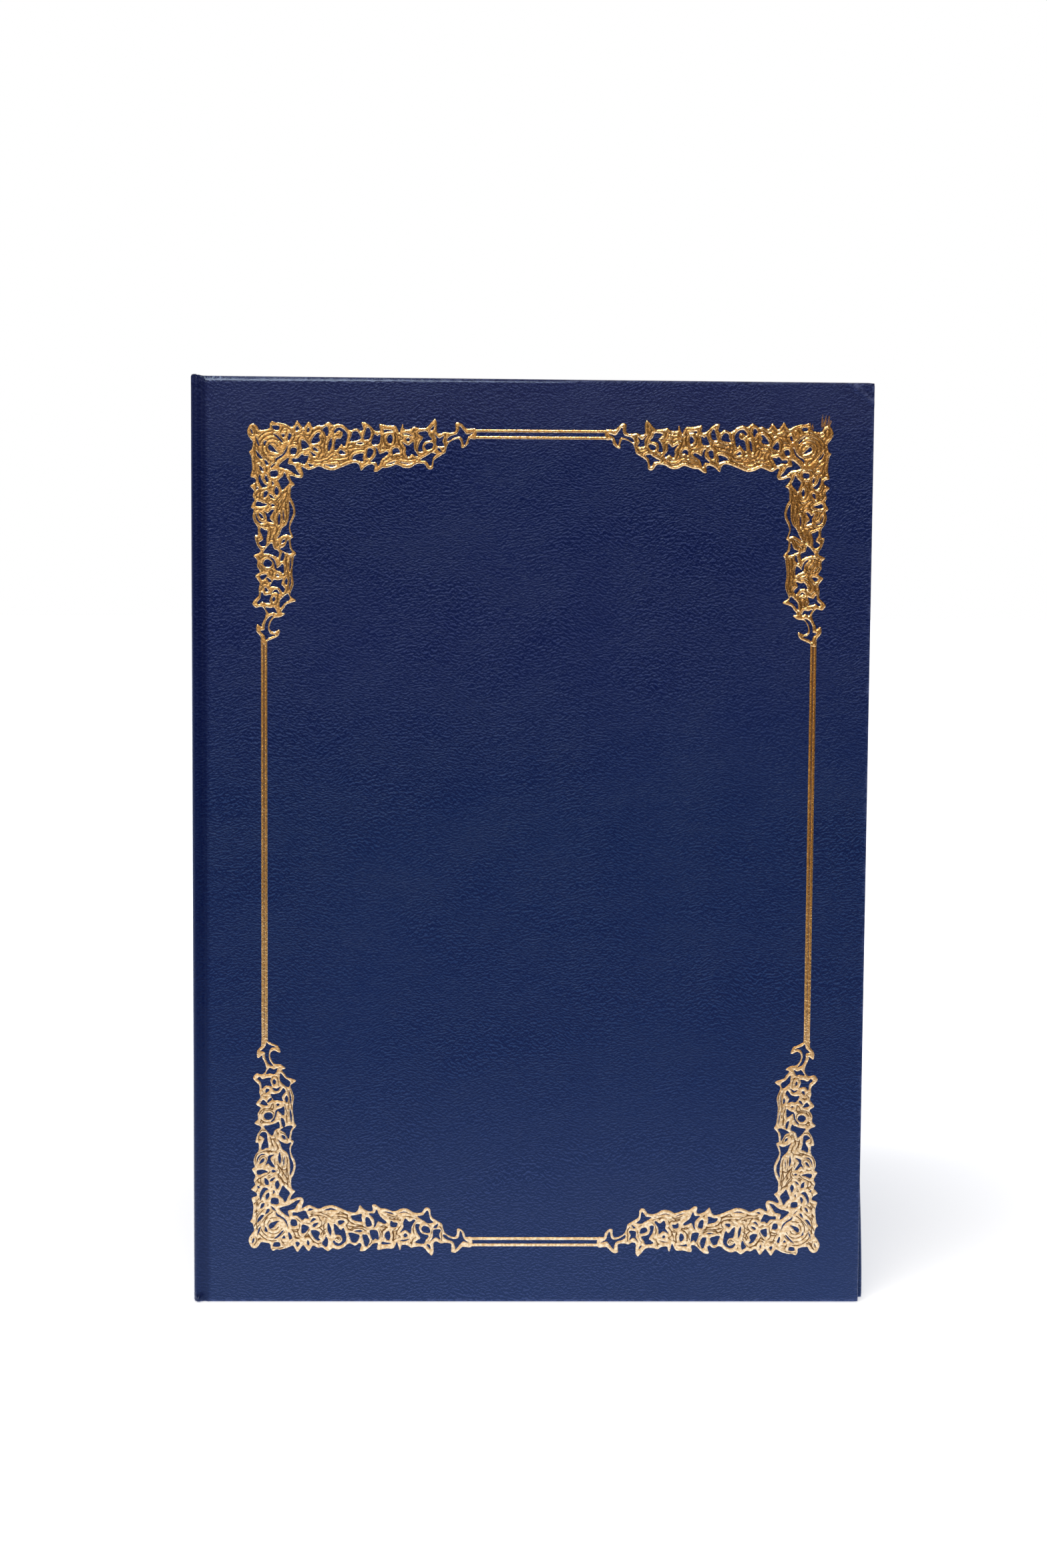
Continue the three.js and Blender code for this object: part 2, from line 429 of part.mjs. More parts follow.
const cardSpan = [LEFT + cardEdge, LEFT + cardEdge + SPINE_CARD];
add("spine_card", block(...cardSpan, ...spineSides, cardEdge, HEIGHT - cardEdge), GREYBOARD, 0.95);
const liningSpan = [LEFT + CARD_FACE, LEFT + CARD_FACE + LINING];
add("spine_lining", block(...liningSpan, ...spineSides, ...LINING_ENDS), CLOTH, 0.85);

// Back cover
const BACK_PANEL = SLAB + TAIL_ROOM;
add("back_board", coverBoard(onBack), GREYBOARD, 0.95);
add("back_leatherette", coverLeatherette(onBack), INK, 0.5);
add("back_lining_panel", liningPanel(onBack, BACK_PANEL), IVORY, 0.8);
add("back_hinge_lining", hingeLining(onBack), CLOTH, 0.85);

// Corner ribbons: each one crosses a corner of the back panel, folds over two of its edges and is glued
// behind it
function cornerRibbon(atSpine, atTop) {
  const m = PANEL_MARGIN;
  const [x0, x1] = [LEFT + PANEL_LEFT, LEFT + WIDTH - m];
  const [z0, z1] = [m, HEIGHT - m];
  const cx = atSpine ? x0 : x1;
  const cz = atTop ? z1 : z0;
  const sx = atSpine ? 1 : -1;
  const sz = atTop ? -1 : 1;
  const reach = RIBBON_REACH + RIBBON_WIDTH * Math.SQRT2;
  const at = (u, v) => [cx + sx * u, cz + sz * v];
  const past = OVERCUT;
  const slant = [
    at(RIBBON_REACH + past, -past),
    at(reach + past, -past),
    at(-past, reach + past),
    at(-past, RIBBON_REACH + past),
  ];
  const [yFront, yTail] = [onBack([0, BACK_PANEL + CARD + GLUE + RIBBON])[1], onBack([0, SLAB + GLUE])[1]];
  const wrap = GLUE + RIBBON;
  const around = block(x0 - wrap, x1 + wrap, yFront, yTail, z0 - wrap, z1 + wrap);
  const held = block(x0 - GLUE, x1 + GLUE, yFront + RIBBON, yTail - RIBBON, z0 - GLUE, z1 + GLUE);
  const t = RIBBON_TAIL;
  const behind = block(x0 + t, x1 - t, yTail - RIBBON - GLUE, yTail + OVERCUT, z0 + t, z1 - t);
  const whole = solid(plate(slant, yFront, yTail)).intersect(solid(around));
  return whole.subtract(solid(held)).subtract(solid(behind));
}
for (const [name, atSpine, atTop] of [
  ["ribbon_upper_spine", true, true],
  ["ribbon_upper_edge", false, true],
  ["ribbon_lower_spine", true, false],
  ["ribbon_lower_edge", false, false],
]) add(name, cornerRibbon(atSpine, atTop), SATIN, 0.4);

// Stamped border: corners and rules lie on the front cover's face
const RULE_LEFT = LEFT + JOINT_WIDTH + FRAME_INSET_SPINE;
const RULE_RIGHT = LEFT + WIDTH - FRAME_INSET_EDGE;
const RULE_TOP = HEIGHT - FRAME_INSET_TOP;
const RULE_FOOT = FRAME_INSET_FOOT;
const [foilFront, foilBack] = [FRONT - FOIL, FRONT - SEAT_GAP];

function area(points) {
  let sum = 0;
  points.forEach(([x, y], i) => {
    const [nx, ny] = points[(i + 1) % points.length];
    sum += x * ny - nx * y;
  });
  return Math.abs(sum) / 2;
}

// Leaves out the points that lie within a given distance of the line between their neighbours
function simpler(points, fineness) {
  const kept = points.slice();
  for (let i = 0; i < kept.length && kept.length > 4;) {
    const [ax, ay] = kept[(i + kept.length - 1) % kept.length];
    const [px, py] = kept[i];
    const [bx, by] = kept[(i + 1) % kept.length];
    const length = Math.hypot(bx - ax, by - ay);
    const off = Math.abs((bx - ax) * (py - ay) - (by - ay) * (px - ax)) / length;
    if (off < fineness) kept.splice(i, 1);
    else i++;
  }
  return kept;
}

function foilCorner(atSpine, atTop) {
  const level = LEVEL_ARM / DRAWN_LEVEL_ARM;
  const upright = UPRIGHT_ARM / DRAWN_UPRIGHT_ARM;
  const at = ([u, v]) => [
    atSpine ? RULE_LEFT + u * level : RULE_RIGHT - u * level,
    atTop ? RULE_TOP - v * upright : RULE_FOOT + v * upright,
  ];
  const outline = simpler(CREST.concat(OUTER_SIDE, INNER_SIDE, INNER_EDGE), OUTLINE_FINENESS);
  let body = solid(plate(outline.map(at), foilFront, foilBack));
  for (const cell of CELLS.filter((points) => area(points) > SMALLEST_CELL)) {
    const opening = simpler(cell, OUTLINE_FINENESS).map(at);
    body = body.subtract(solid(plate(opening, foilFront - OVERCUT, foilBack + OVERCUT)));
  }
  return body;
}
for (const [name, atSpine, atTop] of [
  ["foil_corner_upper_spine", true, true],
  ["foil_corner_upper_edge", false, true],
  ["foil_corner_lower_spine", true, false],
  ["foil_corner_lower_edge", false, false],
]) add(name, foilCorner(atSpine, atTop), GOLD, 0.3, 1);

function rule(x0, x1, z0, z1) {
  return block(x0, x1, foilFront, foilBack, z0, z1);
}
const [levelFrom, levelTo] = [RULE_LEFT + LEVEL_ARM, RULE_RIGHT - LEVEL_ARM];
const [uprightFrom, uprightTo] = [RULE_FOOT + UPRIGHT_ARM, RULE_TOP - UPRIGHT_ARM];
for (const [name, z] of [
  ["foil_rule_top_outer", RULE_TOP + RULE_PITCH / 2],
  ["foil_rule_top_inner", RULE_TOP - RULE_PITCH / 2],
  ["foil_rule_foot_inner", RULE_FOOT + RULE_PITCH / 2],
  ["foil_rule_foot_outer", RULE_FOOT - RULE_PITCH / 2],
]) add(name, rule(levelFrom, levelTo, z - RULE_WIDTH / 2, z + RULE_WIDTH / 2), GOLD, 0.3, 1);
for (const [name, x] of [
  ["foil_rule_spine_outer", RULE_LEFT - SIDE_RULE_PITCH / 2],
  ["foil_rule_spine_inner", RULE_LEFT + SIDE_RULE_PITCH / 2],
  ["foil_rule_edge_inner", RULE_RIGHT - SIDE_RULE_PITCH / 2],
  ["foil_rule_edge_outer", RULE_RIGHT + SIDE_RULE_PITCH / 2],
]) add(name, rule(x - SIDE_RULE_WIDTH / 2, x + SIDE_RULE_WIDTH / 2, uprightFrom, uprightTo), GOLD, 0.3, 1);

export default group;
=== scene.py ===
# %% [markdown]
# # A certificate holder in navy leatherette
# The real holder is a thin hard case: two stiff boards and a narrow spine, wrapped in one skin of grained
# leatherette and stamped with a gold border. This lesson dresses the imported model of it. The holder's lengths
# below are in millimetres, while the frame, the floor and the lamps are in metres, so one factor turns the
# first into the second.

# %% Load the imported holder
import math

import bmesh
import bpy
import numpy as np
from mathutils import Matrix, Vector, noise
from mathutils.geometry import delaunay_2d_cdt
from mathutils.kdtree import KDTree


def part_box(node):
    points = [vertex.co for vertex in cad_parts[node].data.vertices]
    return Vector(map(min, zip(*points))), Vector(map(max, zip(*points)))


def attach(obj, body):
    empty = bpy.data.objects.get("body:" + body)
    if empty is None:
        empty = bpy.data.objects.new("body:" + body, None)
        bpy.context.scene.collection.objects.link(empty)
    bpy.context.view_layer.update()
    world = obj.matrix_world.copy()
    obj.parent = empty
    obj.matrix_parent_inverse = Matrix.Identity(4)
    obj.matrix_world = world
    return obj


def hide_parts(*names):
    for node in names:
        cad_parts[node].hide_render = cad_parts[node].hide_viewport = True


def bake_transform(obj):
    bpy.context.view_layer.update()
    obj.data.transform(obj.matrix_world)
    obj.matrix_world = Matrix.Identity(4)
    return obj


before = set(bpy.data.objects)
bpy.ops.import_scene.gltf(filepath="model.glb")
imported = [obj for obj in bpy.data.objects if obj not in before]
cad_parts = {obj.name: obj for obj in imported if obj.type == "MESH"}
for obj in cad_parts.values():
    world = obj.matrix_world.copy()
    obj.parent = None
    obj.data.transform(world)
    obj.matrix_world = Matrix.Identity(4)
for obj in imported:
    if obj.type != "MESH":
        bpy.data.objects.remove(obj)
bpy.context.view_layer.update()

MM = 0.001
scene = bpy.context.scene
scene.view_settings.view_transform = "Standard"

# %% [markdown]
# The frame gives the sizes. The spine's face is the left side, the front cover's face looks towards -Y, and
# the rules of the stamped border tell where its four corners cross.

# %% Measure the frame


def box_mm(node):
    low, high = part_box(node)
    return low / MM, high / MM


front_low, front_high = box_mm("front_leatherette")
LEFT = box_mm("spine_leatherette")[0].x
RIGHT = front_high.x
HEIGHT = front_high.z
FRONT = front_low.y
BACK = box_mm("back_leatherette")[1].y
WIDTH = RIGHT - LEFT
DEPTH = BACK - FRONT
SLAB = front_high.y - front_low.y
RULE_LEFT = (box_mm("foil_rule_spine_outer")[0].x + box_mm("foil_rule_spine_inner")[1].x) / 2
RULE_RIGHT = (box_mm("foil_rule_edge_inner")[0].x + box_mm("foil_rule_edge_outer")[1].x) / 2
RULE_TOP = (box_mm("foil_rule_top_inner")[0].z + box_mm("foil_rule_top_outer")[1].z) / 2
RULE_FOOT = (box_mm("foil_rule_foot_outer")[0].z + box_mm("foil_rule_foot_inner")[1].z) / 2
print(f"holder {WIDTH:.1f} x {DEPTH:.2f} x {HEIGHT:.1f} mm, cover {SLAB:.2f} mm thick")
print(f"border from {RULE_LEFT:.2f} to {RULE_RIGHT:.2f} and from {RULE_FOOT:.2f} to {RULE_TOP:.2f} mm")

# %% [markdown]
# ## Camera
# The photograph looks down a little on the standing holder, from about 1.2 m. A camera could be aimed with
# a constraint, but a matrix built from its right, up and forward directions says exactly how it is turned,
# and its lens fits the photograph's tall frame, whose long side is the sensor's 36 mm.

# %% Camera
CAMERA_PLACE = Vector((-34.3, -1222.7, 327.8))
CAMERA_RIGHT = Vector((0.99965, -0.02532, 0.00717))
CAMERA_UP = Vector((-0.00401, 0.12249, 0.99246))
LENS = 84.3
SENSOR = 36

camera_data = bpy.data.cameras.new("photo_camera")
camera_data.lens = LENS
camera_data.sensor_width = SENSOR
camera = bpy.data.objects.new("photo_camera", camera_data)
camera_back = CAMERA_RIGHT.cross(CAMERA_UP)
turned = Matrix((CAMERA_RIGHT, CAMERA_UP, camera_back)).transposed().to_4x4()
camera.matrix_world = Matrix.Translation(CAMERA_PLACE * MM) @ turned
scene.collection.objects.link(camera)
scene.camera = camera
print("camera", [round(c, 1) for c in CAMERA_PLACE], "mm, lens", LENS)

# %% [markdown]
# ## Helpers for materials
# A material is a small graph. These helpers make a node, set its sockets by name and link what is handed to
# them, so that each finish below reads as a list of what goes into it.

# %% Material helpers


def new_material(name):
    material = bpy.data.materials.new(name)
    material.use_nodes = True
    tree = material.node_tree
    shader = tree.nodes["Principled BSDF"]
    return material, tree, shader


def add_node(tree, kind, inputs=None, **settings):
    """One node with its settings; an input is a number, a colour or another node's output."""
    made = tree.nodes.new(kind)
    for name, value in settings.items():
        setattr(made, name, value)
    for name, value in (inputs or {}).items():
        feed(tree, made.inputs[name], value)
    return made


def feed(tree, socket, value):
    if isinstance(value, bpy.types.NodeSocket):
        tree.links.new(value, socket)
    else:
        socket.default_value = value


def sums(tree, operation, *values):
    """A Math node on one, two or three values."""
    made = tree.nodes.new("ShaderNodeMath")
    made.operation = operation
    for socket, value in zip(made.inputs, values):
        feed(tree, socket, value)
    return made.outputs[0]


def ranged(tree, value, low, high, to_low=0.0, to_high=1.0):
    made = add_node(tree, "ShaderNodeMapRange", interpolation_type="SMOOTHSTEP")
    for socket, given in zip(made.inputs, (value, low, high, to_low, to_high)):
        feed(tree, socket, given)
    return made.outputs[0]


def along(tree, value, start, end, to_start=0.0, to_end=1.0):
    """As ranged, between two places in millimetres."""
    return ranged(tree, value, start * MM, end * MM, to_start, to_end)


def near_height(tree, height, middle, near, far):
    """1 near a height and 0 far from it, in millimetres."""
    off = sums(tree, "ABSOLUTE", sums(tree, "SUBTRACT", height, middle * MM))
    return along(tree, off, near, far, 1.0, 0.0)


def greater(tree, first, first_share, second, second_share):
    """The greater of two values, each times its share."""
    return sums(tree, "MAXIMUM", sums(tree, "MULTIPLY", first, first_share),
                sums(tree, "MULTIPLY", second, second_share))


def blended(tree, share, first, second, way="MIX"):
    made = add_node(tree, "ShaderNodeMix", data_type="RGBA", blend_type=way)
    feed(tree, made.inputs[0], share)
    feed(tree, made.inputs[6], first)
    feed(tree, made.inputs[7], second)
    return made.outputs[2]


def speckle(tree, place, scale, detail=2.0, roughness=0.5, distortion=0.0):
    given = {"Vector": place, "Scale": scale, "Detail": detail, "Roughness": roughness,
             "Distortion": distortion}
    return add_node(tree, "ShaderNodeTexNoise", given).outputs["Fac"]


def bumped(tree, height, distance, strength=1.0):
    given = {"Height": height, "Distance": distance, "Strength": strength}
    return add_node(tree, "ShaderNodeBump", given).outputs["Normal"]


def object_place(tree):
    return tree.nodes.new("ShaderNodeTexCoord").outputs["Object"]


def axes(tree, place):
    """The three numbers of a place, by the names X, Y and Z."""
    return add_node(tree, "ShaderNodeSeparateXYZ", {"Vector": place}).outputs


def mark(tree, name):
    """A number that the mesh stores on its points."""
    return add_node(tree, "ShaderNodeAttribute", attribute_name=name).outputs["Fac"]


print("material helpers ready")

# %% [markdown]
# ## Leatherette
# The skin is paper-backed vinyl with an embossed grain: short wrinkles about a millimetre long that mostly
# lie level and turn a little from patch to patch. Noise that is squeezed upright gives such wrinkles. Slow
# noise is added to the height first, so that they drift up and down as the embossing roller's pattern does.
# The same grain shows through the thin foil, so it is a function that both finishes call.

# %% Grain
WRINKLE_LENGTH = 1.1
WRINKLE_PITCH = 0.66
FLANK = 0.22
PATCH = 36
PATCH_DRIFT = 15
SWAY = 9
SWAY_DRIFT = 1.7
PORES_PER_METRE = 2600
PORE_SHARE = 0.14
GRAIN_DEPTH = 0.17


def wrinkle_noise(tree, place, height):
    squeezed = add_node(tree, "ShaderNodeCombineXYZ", {
        "X": sums(tree, "MULTIPLY", place["X"], 1000 / WRINKLE_LENGTH),
        "Y": sums(tree, "MULTIPLY", place["Y"], 1000 / WRINKLE_LENGTH),
        "Z": sums(tree, "MULTIPLY", height, 1000 / WRINKLE_PITCH),
    })
    return speckle(tree, squeezed.outputs[0], 1.0, 2.0, 0.5, 0.35)


def leather_grain(tree):
    """The grain's height, from 0 in a crease to 1 on a crest, how much its flank faces up, and the place."""
    place = object_place(tree)
    split = axes(tree, place)
    slow = sums(tree, "SUBTRACT", speckle(tree, place, 1000 / PATCH, 1.0), 0.5)
    quick = sums(tree, "SUBTRACT", speckle(tree, place, 1000 / SWAY, 1.0), 0.5)
    drift = sums(tree, "MULTIPLY_ADD", slow, PATCH_DRIFT * MM, split["Z"])
    drift = sums(tree, "MULTIPLY_ADD", quick, SWAY_DRIFT * MM, drift)
    wrinkles = wrinkle_noise(tree, split, drift)
    above = wrinkle_noise(tree, split, sums(tree, "ADD", drift, FLANK * MM))
    crests = ranged(tree, wrinkles, 0.30, 0.70)
    pores = speckle(tree, place, PORES_PER_METRE, 1.0)
    height = sums(tree, "MULTIPLY_ADD", pores, PORE_SHARE, crests)
    return height, sums(tree, "SUBTRACT", wrinkles, above), place


print(f"wrinkles of {WRINKLE_LENGTH} x {WRINKLE_PITCH} mm")

# %% [markdown]
# Bump alone would lose so fine a grain when a render is smoothed, so the colour takes part in it as a painted
# highlight: the flank of a wrinkle that faces up is painted lighter, as if lit from above. Taking the same
# noise twice, a little apart in height, tells which flank that is. The colour is darkest in a band below the
# middle of the cover, painted shade, with painted light towards the head and a painted reflection of the pale
# table towards the foot. Three marks on the skin's points change the finish: rubbed edges are paler, the
# crease and the tip at the head of the spine are paler with a painted highlight, the pressed joint is darker
# and smoother, with painted shade on the knob at its foot, and the edge that is pulled tight is nearly smooth
# and shines.

# %% Leatherette finish
SHADE_BAND_HEIGHT = 125
SHADE_BAND_NEAR = 30
SHADE_BAND_FAR = 110
TABLE_REFLECTION_TO = 100
HEAD_LIGHT_FROM = 282
HEAD_LIGHT_TO = 306
CLOUDS_PER_METRE = 14
RUBS_PER_METRE = 420
SWELLS_PER_METRE = 24


def leather_dye_and_painted_light(tree, flank, place, rub_and_highlight, press_and_shade):
    height = axes(tree, place)["Z"]
    # Painted highlight: the up-facing flank of each wrinkle gets the lit colour, the other flank the shaded
    # one.
    shaded = (0.0006, 0.0045, 0.047, 1)
    lit = (0.0238, 0.0372, 0.128, 1)
    dye = blended(tree, ranged(tree, flank, -0.04, 0.14), shaded, lit)
    faded = (0.0080, 0.0160, 0.078, 1)
    cloud = speckle(tree, place, CLOUDS_PER_METRE, 3.0)
    dye = blended(tree, ranged(tree, cloud, 0.42, 0.68, 0.0, 0.3), dye, faded)
    # Painted shade: the colour is darkest in a band below the middle of the cover.
    painted_middle_shade = (0.62, 0.985, 0.935, 1)
    middle = near_height(tree, height, SHADE_BAND_HEIGHT, SHADE_BAND_NEAR, SHADE_BAND_FAR)
    dye = blended(tree, middle, dye, painted_middle_shade, "MULTIPLY")
    # Painted reflection of the pale table: lighter towards the foot.
    painted_table_reflection = (0.0080, 0.0148, 0.0185, 1)
    dye = blended(tree, along(tree, height, 0, TABLE_REFLECTION_TO, 1.0, 0.0), dye, painted_table_reflection, "ADD")
    # Painted light from the lamp above: lighter towards the head.
    painted_head_light = (0.0068, 0.0060, 0.0080, 1)
    dye = blended(tree, along(tree, height, HEAD_LIGHT_FROM, HEAD_LIGHT_TO), dye, painted_head_light, "ADD")
    # Darker in the groove by the spine, with painted shade on the knob at its foot.
    dark_groove_and_knob_shade = (0.0015, 0.0035, 0.030, 1)
    dye = blended(tree, sums(tree, "MULTIPLY", press_and_shade, 0.6), dye, dark_groove_and_knob_shade)
    # Paler where rubbed along the edges, and a painted highlight on the crease and on the tip at the head of
    # the spine.
    worn_and_highlit = (0.10, 0.125, 0.26, 1)
    patchy = sums(tree, "MULTIPLY", rub_and_highlight, ranged(tree, speckle(tree, place, RUBS_PER_METRE), 0.44, 0.62))
    return blended(tree, sums(tree, "MULTIPLY", patchy, 0.5), dye, worn_and_highlit)


def leatherette():
    material, tree, shader = new_material("navy_leatherette")
    grain, flank, place = leather_grain(tree)
    rub_and_highlight, press_and_shade, taut = (mark(tree, name) for name in ("rub_and_highlight", "press_and_shade", "taut"))
    feed(tree, shader.inputs["Base Color"], leather_dye_and_painted_light(tree, flank, place, rub_and_highlight, press_and_shade))
    matt = ranged(tree, grain, 0.0, 1.0, 0.46, 0.29)
    glaze = greater(tree, press_and_shade, 0.10, taut, 0.26)
    feed(tree, shader.inputs["Roughness"], sums(tree, "SUBTRACT", matt, glaze))
    lively = ranged(tree, speckle(tree, place, SWELLS_PER_METRE, 2.0), 0.35, 0.65, 0.8, 1.1)
    smooth = greater(tree, press_and_shade, 0.75, taut, 0.96)
    strength = sums(tree, "MULTIPLY", lively, sums(tree, "SUBTRACT", 1.0, smooth))
    feed(tree, shader.inputs["Normal"], bumped(tree, grain, GRAIN_DEPTH * MM, strength))
    shader.inputs["Specular IOR Level"].default_value = 0.22
    shader.inputs["Specular Tint"].default_value = (0.52, 0.70, 1.0, 1)
    return material


LEATHERETTE = leatherette()
print("leatherette:", len(LEATHERETTE.node_tree.nodes), "nodes")

# %% [markdown]
# ## Gold foil
# The border is hot-stamped: a hot die presses a film of gold-coloured metal into the skin. The film is a
# mirror-like metal roughened by the grain beneath it, darker where it is thin, with painted shade in the die's
# fine cuts, and with pinholes where it did not take. Metal that varies in roughness and bump gives that
# without any picture. The film's colour also changes by place, as painted reflection and painted shade: it
# is duller in the lower corners, where the holder is handled, and paler there, a painted reflection of the
# pale table, lighter in the upper corner by the spine, a painted light, deeper on the side rules, and
# deepest towards the upper fore-edge, both painted shade.

# %% Gold finish
FLECKS_PER_METRE = 900
PINHOLES_PER_METRE = 1500
FILM_DEPTH = 0.045
LOWER_CORNERS = (45, 100)
UPPER_CORNERS = (200, 240)
SIDE_RULES_MIDDLE = 157
SIDE_RULES_NEAR = 50
SIDE_RULES_FAR = 75


def film_tone(tree, film, place):
    """The film's colour changed at each place by painted reflection and painted shade, and how dull it is
    there.
    """
    split = axes(tree, place)
    across, height = split["X"], split["Z"]
    by_fore_edge = along(tree, across, 0, 90)
    painted_fore_edge_shade = sums(tree, "MULTIPLY", by_fore_edge, along(tree, height, 50, 130))
    by_spine = along(tree, across, -70, -20, 1.0, 0.0)
    painted_spine_corner_light = sums(tree, "MULTIPLY", by_spine, along(tree, height, *UPPER_CORNERS))
    painted_side_rule_shade = near_height(tree, height, SIDE_RULES_MIDDLE, SIDE_RULES_NEAR, SIDE_RULES_FAR)
    dull_and_table_reflection = along(tree, height, *LOWER_CORNERS, 1.0, 0.0)
    # Painted shade towards the upper fore-edge and on the side rules, painted light in the upper corner by the
    # spine, and a paler, bluer painted reflection of the table in the lower corners.
    tints = [(painted_fore_edge_shade, (0.90, 0.82, 0.70, 1)), (painted_spine_corner_light, (1.13, 1.15, 1.16, 1)),
             (painted_side_rule_shade, (0.945, 0.89, 0.72, 1)), (dull_and_table_reflection, (0.94, 1.02, 1.16, 1))]
    for share, tint in tints:
        film = blended(tree, share, film, tint, "MULTIPLY")
    return film, dull_and_table_reflection


def gold_foil():
    material, tree, shader = new_material("gold_foil")
    grain, _, place = leather_grain(tree)
    flecks = speckle(tree, place, FLECKS_PER_METRE, 3.0, 0.6)
    deep = (0.66, 0.41, 0.175, 1)
    bright = (0.95, 0.70, 0.39, 1)
    film = blended(tree, ranged(tree, flecks, 0.36, 0.64), deep, bright)
    film, dull_and_table_reflection = film_tone(tree, film, place)
    cut = mark(tree, "cut")
    # Painted shade in the die's fine cuts, stronger in the lower corners.
    cut_shade = sums(tree, "MULTIPLY_ADD", sums(tree, "MULTIPLY", cut, dull_and_table_reflection), 0.9, cut)
    painted_cut_shade = (0.13, 0.062, 0.020, 1)
    film = blended(tree, cut_shade, film, painted_cut_shade)
    missed = ranged(tree, speckle(tree, place, PINHOLES_PER_METRE, 2.0), 0.70, 0.76)
    in_pinhole = (0.03, 0.03, 0.08, 1)
    film = blended(tree, missed, film, in_pinhole)
    feed(tree, shader.inputs["Base Color"], film)
    feed(tree, shader.inputs["Metallic"], sums(tree, "MULTIPLY_ADD", missed, -0.9, 1.0))
    gloss = ranged(tree, flecks, 0.3, 0.7, 0.33, 0.20)
    feed(tree, shader.inputs["Roughness"], sums(tree, "MULTIPLY_ADD", dull_and_table_reflection, 0.15, gloss))
    pressed = sums(tree, "MULTIPLY_ADD", flecks, 0.35, grain)
    feed(tree, shader.inputs["Normal"], bumped(tree, pressed, FILM_DEPTH * MM, 0.8))
    return material


GOLD = gold_foil()
print("gold foil:", len(GOLD.node_tree.nodes), "nodes")

# %% [markdown]
# ## The wrapped skin
# One skin of leatherette is glued round the boards: it runs over the outer face, round the edges, and is
# turned in 15 mm inside, with mitred corners. A plate with a bevel would look like a block. Here a grid of
# the outer face gets a border that follows the turned edge's own section, point by point, back to a grid of
# the inner face, so the skin is a closed shell with a real pocket for the board. Beside the spine the same
# section runs through the pressed groove and round the spine's corner.

# %% Sizes of the skin
SKIN = 0.5
TURN_IN = 15
EDGE_ROUND = 0.8
CORNER = 1.6
CORNER_SHARP = 0.8
SPINE_ROUND = 2
JOINT = 5
GROOVE = 0.5
FOLDED = 1.2
SPINE_FOLDED = 2.1
CARD_PLAY = 0.3
JOINT_STEPS = 10


def graded(*marks):
    """Values from the first mark to the last; each mark is a place and the step that follows it."""
    values = []
    for (start, step), (end, _) in zip(marks, marks[1:]):
        count = max(1, round(abs(end - start) / step))
        values += [start + (end - start) * k / count for k in range(count)]
    return values + [marks[-1][0]]


def joint_stations():
    """Places round the spine's corner and through the groove: x, q, the way inwards, and the thickness."""
    rows = []
    for k in range(JOINT_STEPS + 1):
        turn = math.pi / 2 * k / JOINT_STEPS
        c, s = math.cos(turn), math.sin(turn)
        rows.append((SPINE_ROUND * (1 - c), SPINE_ROUND * (1 - s), c, s, FOLDED))
    span = JOINT - SPINE_ROUND
    for k in range(1, JOINT_STEPS + 1):
        wave = 2 * math.pi * k / JOINT_STEPS
        dip = GROOVE * (1 - math.cos(wave)) / 2
        lean = Vector((-GROOVE * math.pi / span * math.sin(wave), 1)).normalized()
        rows.append((SPINE_ROUND + span * k / JOINT_STEPS, dip, lean.x, lean.y, FOLDED))
    return rows


def face_stations():
    places = graded((JOINT + 0.1, 1), (14, 4), (WIDTH - 26, 1), (WIDTH - 12, 0.5), (WIDTH - CORNER, 0))
    return [(x, 0, 0, 1, SLAB) for x in places]


def spine_stations():
    """The spine's flat, from the front corner to the back one, in distances from the back cover's face."""
    card = [DEPTH - SPINE_ROUND - CARD_PLAY, SPINE_ROUND + CARD_PLAY]
    places = graded((DEPTH - SPINE_ROUND, 0.1), (card[0] + 0.1, 0.1), (card[0], 0.55), (card[1], 0.1),
                    (card[1] - 0.1, 0.1), (SPINE_ROUND + 0.1, 0))
    return [(0, q, 1, 0, SPINE_FOLDED if card[1] <= q <= card[0] else FOLDED) for q in places]


print("stations:", len(joint_stations()), "in a joint,", len(face_stations()), "on a face")

# %% Section of a turned edge


def edge_profile(thick):
    """Distances from the edge and from the outer face, from the face round the edge to the inner side."""
    r = min(EDGE_ROUND, thick / 2 - 0.05)
    turns = [math.pi / 2 * k / 5 for k in range(6)]
    face = [(CORNER, 0), ((CORNER + r) / 2, 0)]
    outside = [(r * (1 - math.sin(a)), r * (1 - math.cos(a))) for a in turns]
    inside = [(r * (1 - math.cos(a)), thick - r * (1 - math.sin(a))) for a in turns]
    fold = thick - SKIN
    flap = [(TURN_IN / 2, thick), (TURN_IN - 0.2, thick), (TURN_IN, thick - 0.15), (TURN_IN, fold)]
    pocket = [(SKIN, fold), (SKIN, SKIN), (CORNER, SKIN)]
    return face + outside + inside + flap + pocket


print("edge profile:", len(edge_profile(SLAB)), "points")

# %% [markdown]
# A hand-wrapped case isn't perfect, and the photograph shows where: a diagonal crease across the top corner
# beside the fore-edge, the skin gathered into a small tip at the head of the spine and a knob at its foot.
# The head isn't cut quite square, and from the spine to past the middle its edge is pulled tight into a
# slope that catches the light. The back cover's lower corner also stands a little further out than the
# front one's. Moving the finished points by smooth bumps keeps the skin closed. Each function below makes
# one such change, on points given as the distance from the spine, the depth from the cover's face and the
# height.

# %% Helpers for creases


def hump(distance, width):
    return np.exp(-(distance / width) ** 2)


def eased(value):
    t = np.clip(value, 0, 1)
    return t * t * (3 - 2 * t)


def wavy(points, scale, seed):
    shift = Vector((seed, 2 * seed, 3 * seed))
    return np.array([noise.noise(Vector(p) * scale + shift) for p in points])


CREASE_FROM = np.array((WIDTH - 8.2, HEIGHT))
CREASE_TO = np.array((WIDTH - 0.4, HEIGHT - 6.4))


